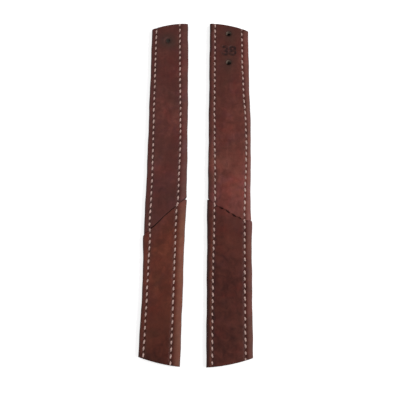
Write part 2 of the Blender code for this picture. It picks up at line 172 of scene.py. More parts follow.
def share(name, description, default):
    return bpy.props.FloatProperty(name=name, description=description, default=default, subtype="FACTOR",
                                   min=0.0, soft_max=1.0)


def tones(name, description, default):
    return bpy.props.FloatVectorProperty(name=name, description=description, default=default, size=5,
                                         min=0.0, max=1.0)


def colour(name, description, default):
    return bpy.props.FloatVectorProperty(name=name, description=description, default=default, size=3,
                                         subtype="COLOR", min=0.0, max=1.0)


STRAP_FIELDS = {
    "offset": (length, "Offset", "Distance of the centre line from the middle of the pair"),
    "lean": (angle, "Lean", "Slant of the centre line, outward towards the top"),
    "bow": (length, "Bow", "How far the ends curve outward"),
    "top_width": (length, "Top width", "Width at the top end"),
    "splice_width": (length, "Splice width", "Width of the upper length at the splice"),
    "lower_width": (length, "Lower width", "Width of the lower length at the splice"),
    "bottom_width": (length, "Bottom width", "Width at the bottom end"),
    "inner_flare": (length, "Inner flare", "How far the lower length's inner corner stands out"),
    "outer_flare": (length, "Outer flare", "How far the lower length's outer corner stands out"),
    "swell": (length, "Swell", "How far the upper length's outer side swells out"),
    "swell_y": (length, "Swell place", "Height at which the outer side swells most"),
    "inner_margin": (length, "Inner margin", "Distance of the inner stitch row from its edge"),
    "inner_wander": (length, "Inner wander", "How far the inner row strays towards its edge"),
    "inner_wander_y": (length, "Inner wander place", "Height at which the inner row strays most"),
    "inner_fall": (length, "Inner fall", "How far the inner margin rolls down"),
    "outer_margin": (length, "Outer margin", "Distance of the outer stitch row from its edge"),
    "outer_wander": (length, "Outer wander", "How far the outer row strays towards its edge"),
    "outer_wander_y": (length, "Outer wander place", "Height at which the outer row strays most"),
    "outer_fall": (length, "Outer fall", "How far the outer margin rolls down"),
    "splice_y": (length, "Splice height", "Height of the diagonal cut at the inner row"),
    "splice_inner_angle": (angle, "Splice inner angle", "Slope of the cut from the inner edge to its row"),
    "splice_outer_angle": (angle, "Splice outer angle", "Slope of the cut from row to row"),
    "splice_edge_angle": (angle, "Splice edge angle", "Slope of the cut from the outer row to its edge"),
    "upper_tones": (tones, "Upper tones", "Depth of the dye at even steps from the splice to the top"),
    "lower_tones": (tones, "Lower tones", "Depth of the dye at even steps from the splice to the bottom"),
    # The wear shares are partly painted sheen on the right-hand margins, which face the key light
    "upper_wear": (share, "Upper wear", "How far the upper length's right-hand margin is rubbed"),
    "lower_wear": (share, "Lower wear", "How far the lower length's right-hand margin is rubbed"),
    # The ridge shares are a painted highlight beside the left-hand row
    "upper_ridge": (share, "Upper ridge", "How far the upper length is rubbed beside its left-hand row"),
    "lower_ridge": (share, "Lower ridge", "How far the lower length is rubbed beside its left-hand row"),
    # Edge shade is painted shade along the left-hand edge, which faces away from the key light
    "edge_shade": (share, "Edge shade", "How far the dye gathers along the left-hand edge"),
    # Slope is painted light: lighter towards the right-hand row, which faces the key light
    "slope": (share, "Slope", "How far the dye pales from the left-hand row to the right-hand one"),
    "upper_warmth": (share, "Upper warmth", "How brown rather than red the upper length is"),
    "lower_warmth": (share, "Lower warmth", "How brown rather than red the lower length is"),
}


def strap_group(side, defaults):
    """The sizes of one strap as a group of properties."""
    fields = {key: kind(label, words, defaults[key]) for key, (kind, label, words) in STRAP_FIELDS.items()}
    return type(f"STRAPS_PG_{side}", (bpy.types.PropertyGroup,), {"__annotations__": fields})


STRAPS_PG_left = strap_group("left", {
    "offset": 0.0228, "lean": -1.18, "bow": 0.00115,
    "top_width": 0.0255, "splice_width": 0.0272, "lower_width": 0.0256, "bottom_width": 0.0262,
    "inner_flare": 0.0010, "outer_flare": 0.0014,
    "swell": 0.0002, "swell_y": 0.070,
    "inner_margin": 0.0059, "inner_wander": 0.0010, "inner_wander_y": 0.046, "inner_fall": 0.0012,
    "outer_margin": 0.0032, "outer_wander": -0.0005, "outer_wander_y": 0.014, "outer_fall": 0.0005,
    "splice_y": -0.0022, "splice_inner_angle": 36.0, "splice_outer_angle": 44.0, "splice_edge_angle": 38.0,
    "upper_tones": (0.49, 0.50, 0.58, 0.55, 0.46), "lower_tones": (0.54, 0.69, 0.60, 0.46, 0.28),
    "upper_wear": 0.27, "lower_wear": 0.70, "upper_ridge": 0.0, "lower_ridge": 0.03,
    "edge_shade": 0.10, "slope": 0.01, "upper_warmth": 0.0, "lower_warmth": 1.0,
})
STRAPS_PG_right = strap_group("right", {
    "offset": 0.0190, "lean": 0.533, "bow": 0.0001,
    "top_width": 0.0272, "splice_width": 0.0283, "lower_width": 0.0289, "bottom_width": 0.0292,
    "inner_flare": 0.0002, "outer_flare": 0.0005,
    "swell": 0.0008, "swell_y": 0.048,
    "inner_margin": 0.0037, "inner_wander": -0.0010, "inner_wander_y": 0.001, "inner_fall": 0.0008,
    "outer_margin": 0.0048, "outer_wander": 0.0016, "outer_wander_y": 0.036, "outer_fall": 0.0010,
    "splice_y": -0.0027, "splice_inner_angle": 41.0, "splice_outer_angle": 30.0, "splice_edge_angle": -6.0,
    "upper_tones": (0.67, 0.81, 0.56, 0.57, 0.51), "lower_tones": (0.44, 0.37, 0.26, 0.30, 0.29),
    "upper_wear": 0.52, "lower_wear": 0.30, "upper_ridge": 0.26, "lower_ridge": 0.22,
    "edge_shade": 0.40, "slope": 0.06, "upper_warmth": 0.22, "lower_warmth": 0.62,
})


class STRAPS_PG_cover(bpy.types.PropertyGroup):
    """Sizes that both covers share."""
    top_y: length("Top crest", "Height of the arc that cuts the top ends, at its crest", 0.1307)
    top_radius: length("Top end radius", "Radius of the arc that cuts the top ends", 0.105)
    bottom_y: length("Bottom crest", "Height of the arc that cuts the bottom ends, at its crest", -0.107)
    bottom_radius: length("Bottom end radius", "Radius of the arc that cuts the bottom ends", 0.107)
    crest_x: length("Crest", "Place across the pair where both end arcs have their crests", -0.0020)
    origin: bpy.props.FloatVectorProperty(
        name="Origin", description="Point that all plan sizes are counted from", size=2,
        default=(0.0022929, -0.0118119), subtype="XYZ_LENGTH")
    edge_round: length("Edge round", "Reach of the burnished rounding across the strap", 0.0014)
    edge_depth: length("Edge depth", "Depth of the burnished rounding", 0.0013)
    crown: length("Crown", "Height of the swell between the stitch rows", 0.00030)
    splice_gap: length("Splice gap", "Opening between the two lengths at the splice", 0.0005)
    notch: length("Notch", "Depth of the nick at each end of the splice", 0.0011)
    flare_length: length("Flare length", "Length over which a flared corner dies away", 0.015)
    swell_length: length("Swell length", "Length over which the swelling dies away", 0.030)
    fineness: length("Fineness", "Spacing of the points along the face leather", 0.00044)


class STRAPS_PG_sewing(bpy.types.PropertyGroup):
    """Sizes of the stitching and of the web inside."""
    pitch: length("Pitch", "Distance from hole to hole", 0.00423)
    thread: length("Thread", "Diameter of the waxed thread", 0.00130)
    slant: length("Slant", "Sideways step of a stitch from hole to hole", 0.0008)
    lay: length("Lay", "Length of one turn of the thread's three plies", 0.0030)
    dive: length("Dive", "Depth that a stitch sinks to at its holes", 0.00215)
    wander_length: length("Wander length", "Length over which a row strays", 0.040)
    end_margin: length("End margin", "Least distance of a hole from the strap's end", 0.0016)
    unevenness: length("Unevenness", "How far a hole may lie from its even place", 0.00022)
    groove: length("Groove", "Depth of the channel that the stitches lie in", 0.00032)
    back_groove: length("Back groove", "Depth of the channel that a row lies in on the lining", 0.00058)
    pit: length("Pit", "Depth of the leather's dent at each hole", 0.00055)
    web_clearance: length("Web clearance", "Distance between the core web and a stitch row", 0.0025)


class STRAPS_PG_holes(bpy.types.PropertyGroup):
    """Sizes of the punched holes and of the stamped number."""
    punch: length("Punch", "Diameter of the holes through the right strap", 0.0039)
    punch_margin: length("Punch margin", "Distance of the first hole from the end", 0.0065)
    punch_spacing: length("Punch spacing", "Distance between the two holes", 0.0222)
    punch_offset: length("Punch offset", "Distance of the holes from the centre line", -0.0003)
    prick: length("Prick", "Diameter of the small hole in the left strap", 0.0029)
    prick_margin: length("Prick margin", "Distance of the small hole from the end", 0.0124)
    prick_offset: length("Prick offset", "Distance of the small hole from the centre line", 0.0011)
    prick_depth: length("Prick depth", "Depth of the small hole", 0.0010)
    lip: length("Lip", "Height of the lip pressed up around the small hole", 0.00014)
    lip_reach: length("Lip reach", "Distance of the lip from the small hole", 0.0011)
    lip_width: length("Lip width", "Half the width of the lip", 0.0008)
    # Lip wear is a painted highlight on the lit side of the lip
    lip_wear: share("Lip wear", "How far the lip is rubbed", 0.33)
    number: bpy.props.StringProperty(name="Number", description="Plain number stamped between the holes",
                                     default="38")
    number_height: length("Number height", "Height of the stamped digits", 0.0072)
    number_depth: length("Number depth", "Depth of the stamped digits", 0.00032)


class STRAPS_PG_colours(bpy.types.PropertyGroup):
    """Colours of the finishes."""
    dye_dark: colour("Dark dye", "Face leather where the dye is deepest", (0.036, 0.0080, 0.0064))
    dye_mid: colour("Mid dye", "Face leather over most of its face", (0.084, 0.0228, 0.0178))
    dye_light: colour("Light dye", "Face leather where it is worn", (0.195, 0.0580, 0.0440))
    dye_brown: colour("Brown dye", "Tint of the dye where it is browner", (1.0, 0.78, 0.54))
    edge: colour("Edge", "Burnished edges", (0.040, 0.0130, 0.0105))
    raw: colour("Raw leather", "Cut walls of the punched holes", (0.150, 0.105, 0.080))
    lining: colour("Lining", "Flesh side of the lining leather", (0.080, 0.030, 0.021))
    web: colour("Web", "Core web", (0.030, 0.024, 0.022))
    # Rubbed is the colour of worn margins, and also of the painted sheen on them
    rubbed: colour("Rubbed", "Face leather where the dye is rubbed off", (0.240, 0.108, 0.092))
    soil: colour("Soil", "Dirt and old oil around the holes", (0.040, 0.0270, 0.0200))
    thread: colour("Thread", "Waxed thread", (0.530, 0.355, 0.313))
    thread_soil: colour("Thread soiling", "Thread where it is rubbed and soiled", (0.300, 0.180, 0.150))
    floor: colour("Floor", "Plain floor", (0.860, 0.860, 0.860))


class STRAPS_PG_stage(bpy.types.PropertyGroup):
    """Camera and light."""
    aim: bpy.props.FloatVectorProperty(
        name="Aim", description="Point on the straps' upper side that the camera looks at", size=2,
        default=(0.00197, -0.01148), subtype="XYZ_LENGTH")
    tilt: angle("Tilt", "Tilt of the camera from straight down", 15.4)
    distance: length("Distance", "Distance of the camera from the point it looks at", 0.455)
    focal: bpy.props.FloatProperty(name="Focal length", description="Focal length in millimetres",
                                   default=62.2, unit="CAMERA")
    key: bpy.props.FloatProperty(name="Key light", description="Power of the light on the right, in watts",
                                 default=5.0, min=0.0)
    fill: bpy.props.FloatProperty(name="Fill light", description="Power of the light on the left, in watts",
                                  default=2.6, min=0.0)
    sky: share("Sky", "Strength of the even light from all round", 0.32)


class STRAPS_PG_pair(bpy.types.PropertyGroup):
    """Everything a user may change."""
    left: bpy.props.PointerProperty(type=STRAPS_PG_left)
    right: bpy.props.PointerProperty(type=STRAPS_PG_right)
    cover: bpy.props.PointerProperty(type=STRAPS_PG_cover)
    sewing: bpy.props.PointerProperty(type=STRAPS_PG_sewing)
    holes: bpy.props.PointerProperty(type=STRAPS_PG_holes)
    colours: bpy.props.PointerProperty(type=STRAPS_PG_colours)
    stage: bpy.props.PointerProperty(type=STRAPS_PG_stage)


# Shader sums

class Value:
    """A shader socket that takes part in Python sums."""

    def __init__(self, shader, socket):
        self.shader = shader
        self.socket = socket

    def math(self, operation, first, second):
        return self.shader.node("ShaderNodeMath", {0: first, 1: second}, operation=operation)

    def __add__(self, other):
        return self.math("ADD", self, other)

    def __radd__(self, other):
        return self.math("ADD", other, self)

    def __sub__(self, other):
        return self.math("SUBTRACT", self, other)

    def __rsub__(self, other):
        return self.math("SUBTRACT", other, self)

    def __mul__(self, other):
        return self.math("MULTIPLY", self, other)

    def __rmul__(self, other):
        return self.math("MULTIPLY", other, self)

    def step(self, low, high):
        """0 below low, 1 above high, and smooth between them."""
        return self.shader.node("ShaderNodeMapRange", {"Value": self, "From Min": low, "From Max": high},
                                interpolation_type="SMOOTHSTEP")


class Shader:
    """A material being made: its nodes, and the Principled surface they feed."""

    def __init__(self, name):
        self.material = bpy.data.materials.new(name)
        self.material.use_nodes = True
        self.tree = self.material.node_tree
        self.surface = self.tree.nodes["Principled BSDF"]

    def node(self, kind, inputs=None, output=0, **settings):
        """Any node; inputs are values or sockets by name or number. Gives one of its outputs."""
        made = self.tree.nodes.new(kind)
        for key, value in settings.items():
            setattr(made, key, value)
        for key, value in (inputs or {}).items():
            self.feed(made.inputs[key], value)
        return Value(self, made.outputs[output])

    def feed(self, socket, value):
        if isinstance(value, Value):
            self.tree.links.new(value.socket, socket)
        else:
            socket.default_value = value

    def set(self, **inputs):
        """Inputs of the surface, with underscores for spaces."""
        for key, value in inputs.items():
            self.feed(self.surface.inputs[key.replace("_", " ")], value)

    def place(self, scale=(1.0, 1.0, 1.0)):
        """Object coordinates, scaled."""
        where = self.node("ShaderNodeTexCoord", output="Object")
        return self.node("ShaderNodeMapping", {"Vector": where, "Scale": scale})

    def noise(self, size, detail=3.0, roughness=0.5, distortion=0.0, stretch=(1.0, 1.0, 1.0)):
        """Noise whose lumps are about one size across, in metres."""
        return self.node("ShaderNodeTexNoise", {
            "Vector": self.place(stretch), "Scale": 1.0 / size, "Detail": detail, "Roughness": roughness,
            "Distortion": distortion})

    def cells(self, size):
        """Distance from the nearest of scattered points, about one size apart, in metres."""
        return self.node("ShaderNodeTexVoronoi", {"Vector": self.place(), "Scale": 1.0 / size}, "Distance")

    def attribute(self, name):
        return self.node("ShaderNodeAttribute", output="Fac", attribute_name=name)

    def mix(self, first, second, factor, blend="MIX"):
        """A colour between two colours."""
        made = self.tree.nodes.new("ShaderNodeMix")
        made.data_type = "RGBA"
        made.blend_type = blend
        for socket, value in zip((made.inputs[0], made.inputs[6], made.inputs[7]), (factor, first, second)):
            self.feed(socket, (*value, 1.0) if isinstance(value, tuple) else value)
        return Value(self, made.outputs[2])

    def bump(self, height, distance, strength):
        return self.node("ShaderNodeBump", {"Height": height, "Distance": distance, "Strength": strength})


def face_leather(colours):
    """Dyed and waxed strap leather: cloudy dye, fine pores, rubbed patches that also carry painted sheen,
    burnished edges, and painted shade in its creases.
    """
    shader = Shader("face_leather")
    dark, mid, light, edge = (tuple(getattr(colours, key))
                              for key in ("dye_dark", "dye_mid", "dye_light", "edge"))
    tone = shader.attribute("tone")
    cloud = shader.noise(0.016, 4.0, 0.55, 0.4)
    patch = shader.noise(0.0045, 4.0, 0.6, 0.6)
    streak = shader.noise(0.0030, 3.0, 0.6, 0.2, (1.0, 0.22, 1.0))
    depth = tone + (cloud - 0.5) * 0.58 + (patch - 0.5) * 0.65 + (streak - 0.5) * 0.30
    pores = shader.cells(0.00075).step(0.10, 0.42)
    wrinkles = shader.noise(0.0011, 4.0, 0.62, 0.8)
    rim = shader.attribute("rim")
    crease = shader.attribute("crease")
    stamp = shader.attribute("stamp")
    deep = shader.mix(dark, mid, depth.step(0.05, 0.50))
    base = shader.mix(deep, light, depth.step(0.45, 1.10))
    # Rubbed colour: wear, and painted sheen and highlights on the side that faces the key light
    base = shader.mix(base, tuple(colours.rubbed), shader.attribute("worn") * (0.55 + patch * 0.9))
    base = shader.mix(base, tuple(colours.dye_brown), shader.attribute("warmth"), "MULTIPLY")
    hue = shader.noise(0.013, 3.0, 0.55, 0.5)
    base = shader.mix(base, (1.16, 0.90, 0.92), hue.step(0.48, 0.80), "MULTIPLY")
    base = shader.mix(base, (0.88, 1.06, 1.02), 1.0 - hue.step(0.20, 0.52), "MULTIPLY")
    bloom = shader.noise(0.0095, 2.0, 0.5, 0.7).step(0.46, 0.80)
    base = shader.mix(base, (0.98, 1.0, 1.22), bloom, "MULTIPLY")
    base = shader.mix(base, dark, (1.0 - pores) * 0.25)
    scratches = shader.noise(0.0016, 5.0, 0.65, 0.5).step(0.60, 0.74)
    scuff = scratches * shader.noise(0.011, 2.0).step(0.46, 0.66)
    base = shader.mix(base, light, scuff * 0.35)
    base = shader.mix(base, edge, rim.step(0.55, 1.0) * 0.85)
    base = shader.mix(base, tuple(colours.soil), shader.attribute("soil") * (0.25 + patch))
    # Painted shade: near black in the stitch channels, at the holes and along the splice cut
    base = shader.mix(base, (0.010, 0.0040, 0.0034), crease * 0.85)
    ink = shader.noise(0.0021, 3.0, 0.6, 0.4).step(0.36, 0.60)
    base = shader.mix(base, (0.014, 0.0070, 0.0072), stamp * (0.18 + ink * 0.62))
    rough = 0.46 + (patch - 0.5) * 0.16 + (1.0 - pores) * 0.10 - rim * 0.10 + crease * 0.20
    height = pores * 0.35 + wrinkles * 0.65
    shader.set(Base_Color=base, Roughness=rough, IOR=1.45, Specular_IOR_Level=0.20,
               Normal=shader.bump(height, 0.00016, 0.55))
    return shader.material


def raw_leather(colours, shade=1.3):
    """The fibrous cut wall of a punched hole."""
    shader = Shader("raw_leather")
    fibres = shader.noise(0.0004, 4.0, 0.7, 0.5, (1.0, 1.0, 0.4))
    raw = tuple(part * shade for part in colours.raw)
    base = shader.mix(tuple(part * 0.45 for part in raw), raw, fibres.step(0.35, 0.65))
    shader.set(Base_Color=base, Roughness=0.85, Normal=shader.bump(fibres, 0.0001, 0.6))
    return shader.material


def soiled_leather(colours):
    """Cut leather, darkened, at the bottom of a hole that does not go through."""
    return raw_leather(colours, 0.34)


def lining_leather(colours):
    """The flesh side: matt, with a short nap, burnished at its edges, and with painted shade in its stitch
    channels.
    """
    shader = Shader("lining_leather")
    nap = shader.noise(0.0007, 5.0, 0.7, 0.7)
    cloud = shader.noise(0.012, 3.0, 0.55, 0.3)
    rim = shader.attribute("rim")
    crease = shader.attribute("crease")
    lining = tuple(colours.lining)
    base = shader.mix(tuple(part * 0.55 for part in lining), tuple(part * 1.35 for part in lining),
                      (nap * 0.6 + cloud * 0.4).step(0.30, 0.70))
    base = shader.mix(base, tuple(colours.edge), rim.step(0.35, 0.95) * 0.85)
    # Painted shade in the lining's stitch channels and at its holes
    base = shader.mix(base, (0.012, 0.0050, 0.0040), crease * 0.7)
    shader.set(Base_Color=base, Roughness=0.82 - rim * 0.38, Specular_IOR_Level=0.35,
               Normal=shader.bump(nap, 0.00022, 0.7))
    return shader.material


def core_weave(colours):
    """Flat plain-weave tape: warp ribs along it, weft crossing them."""
    shader = Shader("core_web")
    across = shader.node("ShaderNodeTexWave", {"Vector": shader.place(), "Scale": 380.0, "Distortion": 0.6},
                         output="Fac", bands_direction="X")
    along = shader.node("ShaderNodeTexWave", {"Vector": shader.place(), "Scale": 260.0, "Distortion": 0.6},
                        output="Fac", bands_direction="Y")
    weave = across * 0.6 + along * 0.4
    web = tuple(colours.web)
    base = shader.mix(tuple(part * 0.5 for part in web), tuple(part * 1.8 for part in web), weave)
    shader.set(Base_Color=base, Roughness=0.85, Normal=shader.bump(weave, 0.0002, 0.8))
    return shader.material


def waxed_thread(colours):
    """Pale three-ply thread, soiled here and there by the dye and by rubbing."""
    shader = Shader("waxed_thread")
    fibre = shader.noise(0.00022, 3.0, 0.6, 0.3, (1.0, 0.35, 1.0))
    soil = shader.noise(0.0060, 4.0, 0.6, 0.5)
    base = shader.mix(tuple(colours.thread), tuple(colours.thread_soil),
                      soil.step(0.50, 0.78) * 0.75 + (1.0 - fibre) * 0.15)
    shader.set(Base_Color=base, Roughness=0.60 + fibre * 0.15, Normal=shader.bump(fibre, 0.00006, 0.6))
    return shader.material


def plain_floor(colours):
    """A pale floor that the camera sees as white where no shadow falls."""
    shader = Shader("plain_floor")
    speck = shader.noise(0.02, 2.0)
    floor = tuple(colours.floor)
    base = shader.mix(floor, tuple(part * 0.995 for part in floor), speck)
    seen = shader.node("ShaderNodeLightPath", output="Is Camera Ray")
    glow = shader.mix((0.0, 0.0, 0.0), (0.54, 0.54, 0.54), seen)
    shader.set(Base_Color=base, Roughness=0.9, Specular_IOR_Level=0.0, Emission_Color=glow,
               Emission_Strength=1.0)
    return shader.material


def finish_of(name):
    """One finish, made when it is first asked for."""
    makers = {"face_leather": face_leather, "raw_leather": raw_leather, "soiled_leather": soiled_leather,
              "lining_leather": lining_leather, "core_web": core_weave, "waxed_thread": waxed_thread,
              "plain_floor": plain_floor}
    found = bpy.data.materials.get(f"finish_{name}")
    if found is None:
        found = makers[name](bpy.context.scene.strap_pair.colours)
        found.name = f"finish_{name}"
    return found


# Plan of a strap, seen from above

def waves(y, seed, spans):
    """A small wander along y: sine waves of seeded phase, given as pairs of wavelength and size."""
    dice = random.Random(seed)
    total = 0.0 * y
    for wavelength, size in spans:
        total = total + size * np.sin(2.0 * math.pi * y / wavelength + dice.uniform(0.0, 2.0 * math.pi))
    return total


def relief(x, y, size, seed):
    """Smooth noise over the plan, about -1 to 1."""
    values = [noise.noise((a / size, b / size, seed)) for a, b in zip(x.ravel(), y.ravel())]
    return np.array(values).reshape(x.shape)


def bell(distance, width):
    """1 at no distance, dying away over a width."""
    return np.exp(-(distance / width) ** 2)


def shade(crease, distance):
    """How dark the painted shade of a crease is at a distance from its middle."""
    strength, width = crease
    return strength * bell(distance, width)


def ramp(distance, start, run):
    """A share that grows from its start to 1 over a run."""
    return start + (1.0 - start) * np.clip(distance / run, 0.0, 1.0)


class Plan:
    """One strap in plan. x and y are numbers or arrays, counted from the centre of the end arcs."""

    def __init__(self, name):
        pair = bpy.context.scene.strap_pair
        self.name = name
        self.side = SIDES[name]
        self.sizes = getattr(pair, name)
        self.cover = pair.cover
        self.sewing = pair.sewing
        self.holes = pair.holes
        self.shift = np.array(pair.cover.origin)
        self.knees = {INNER: self.row_x(UPPER, INNER, self.sizes.splice_y)}
        bend_y = self.meet(lambda y: self.row_x(UPPER, OUTER, y), self.diagonal_y)
        self.knees[OUTER] = self.row_x(UPPER, OUTER, bend_y)
        self.flare_y = {edge: self.meet(lambda y, edge=edge: self.edge_x(UPPER, edge, y), self.splice_y)
                        for edge in (INNER, OUTER)}
        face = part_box(f"{name}_face_upper")
        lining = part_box(f"{name}_lining_upper")
        self.top = face[1][2]
        self.seam = (face[0][2] + lining[1][2]) / 2
        self.web_levels = [corner[2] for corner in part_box(f"{name}_core_web")]

    def line_x(self, y, outward):
        """X of a line that keeps a distance outward of the centre line."""
        sizes = self.sizes
        half_length = (self.cover.top_y - self.cover.bottom_y) / 2
        centre = sizes.offset + math.tan(sizes.lean) * y + sizes.bow * (y / half_length) ** 2
        return self.side * (centre + outward)

    def half_width(self, half, y):
        sizes, cover = self.sizes, self.cover
        start, stop, end = ((sizes.splice_width, sizes.top_width, cover.top_y) if half == UPPER
                            else (sizes.lower_width, sizes.bottom_width, cover.bottom_y))
        along = (y - sizes.splice_y) / (end - sizes.splice_y)
        return (start + along * (stop - start)) / 2

    def swelling(self, half, edge, y):
        if half == LOWER or edge == INNER:
            return 0.0
        return self.sizes.swell * bell(y - self.sizes.swell_y, self.cover.swell_length)

    def edge_x(self, half, edge, y):
        """X of a long edge, a little uneven from the knife."""
        outward = edge * self.half_width(half, y) + self.swelling(half, edge, y)
        if half == LOWER:
            flare = getattr(self.sizes, f"{ROW_NAMES[edge]}_flare")
            outward = outward + edge * flare * bell(self.flare_y[edge] - y, self.cover.flare_length)
        outward = outward + waves(y, f"{self.name}{half}{edge}", EDGE_WAVES)
        return self.line_x(y, outward)

    def row_x(self, half, row, y):
        word = ROW_NAMES[row]
        sizes = self.sizes
        strayed = getattr(sizes, f"{word}_wander") * bell(y - getattr(sizes, f"{word}_wander_y"),
                                                          self.sewing.wander_length)
        outward = row * (self.half_width(half, y) - getattr(sizes, f"{word}_margin") + strayed)
        return self.line_x(y, outward + self.swelling(half, row, y))

    def diagonal_y(self, x):
        """Y of the cut from row to row, or of that line carried on."""
        past = self.side * (x - self.knees[INNER])
        return self.sizes.splice_y - past * math.tan(self.sizes.splice_outer_angle)

    def splice_y(self, x):
        """Y of the diagonal cut, which bends a little at each row."""
        sizes = self.sizes
        y = self.diagonal_y(x)
        for edge, slope in ((INNER, sizes.splice_inner_angle), (OUTER, sizes.splice_edge_angle)):
            past = self.side * (x - self.knees[edge])
            y = np.where(edge * past > 0.0, self.diagonal_y(self.knees[edge]) - past * math.tan(slope), y)
        return y

    def end_y(self, half, x):
        cover = self.cover
        crest, radius = ((cover.top_y, cover.top_radius) if half == UPPER
                         else (cover.bottom_y, cover.bottom_radius))
        return crest - half * (radius - np.sqrt(radius ** 2 - (x - cover.crest_x) ** 2))

    def meet(self, run_x, boundary_y):
        """Y where a lengthwise line meets a boundary."""
        y = 0.0
        for _ in range(MEETING_ROUNDS):
            y = float(boundary_y(run_x(y)))
        return y

    def stitch_holes(self, half, row):
        """Centres of one row's awl holes in one length, from the splice to the end, each a little astray."""
        sewing = self.sewing

        def run(y):
            return self.row_x(half, row, y)

        first = self.meet(run, self.splice_y) + half * sewing.pitch / 2
        room = abs(self.meet(run, lambda x: self.end_y(half, x)) - first) - sewing.end_margin
        heights = [first + half * sewing.pitch * number for number in range(int(room / sewing.pitch) + 1)]
        dice = random.Random(f"{self.name}{half}{row}")
        stray = sewing.unevenness
        return [(run(y) + SIDEWAYS_STRAY * dice.uniform(-stray, stray), y + dice.uniform(-stray, stray))
                for y in heights]

    def punched_holes(self):
        """Centre and diameter of each punched hole."""
        holes = self.holes

        def run(y):
            return self.line_x(y, holes.punch_offset if self.name == "right" else holes.prick_offset)

        top = self.meet(run, lambda x: self.end_y(UPPER, x))
        if self.name == "left":
            return [(run(top - holes.prick_margin), top - holes.prick_margin, holes.prick)]
        heights = (top - holes.punch_margin, top - holes.punch_margin - holes.punch_spacing)
        return [(run(y), y, holes.punch) for y in heights]

    def web_centre(self):
        """Distance outward of the centre line to the middle of the room between the rows."""
        return (self.sizes.inner_margin - self.sizes.outer_margin) / 2

    def web_width(self):
        sizes = self.sizes
        narrowest = min(sizes.top_width, sizes.splice_width, sizes.lower_width)
        return narrowest - sizes.inner_margin - sizes.outer_margin - 2 * self.sewing.web_clearance


# The layers of the cover

class Section:
    """Points round a layer's cross-section, for every station along it.

    A point lies at a share of the width from the inner edge, plus an inset. It follows the shown surface,
    sunk by its drop, or keeps a level of its own where it has one.
    """

    def __init__(self, cover, count, hidden):
        corner = cover.edge_round
        points = [(part, corner * (1 - 2 * part), 0.0, np.nan, 0.0)
                  for part in np.linspace(0.0, 1.0, count)]
        arc = [(corner * (1 - math.sin(turn)), cover.edge_depth * (1 - math.cos(turn)),
                turn / math.radians(90)) for turn in map(math.radians, ROUND_STEPS)]
        points += [(1.0, -inset, drop, np.nan, rim) for inset, drop, rim in arc]
        points += [(part, inset, 0.0, level, 1.0) for part, inset, level in hidden]
        points += [(0.0, inset, drop, np.nan, rim) for inset, drop, rim in reversed(arc)]
        points.append(points[0])
        self.share, self.inset, self.drop, self.level, self.rim = np.array(points).T


def stations(spacing):
    """Stations along a layer, close together at both ends, as shares of its length plus insets."""
    near = [part * MM for part in END_STEPS]
    count = int(USUAL_LENGTH / spacing)
    middle = [(part, near[-1] * (1 - 2 * part)) for part in np.linspace(0.0, 1.0, count)]
    both = [(0.0, inset) for inset in near[:-1]] + middle + [(1.0, -inset) for inset in reversed(near[:-1])]
    return np.array(both).T


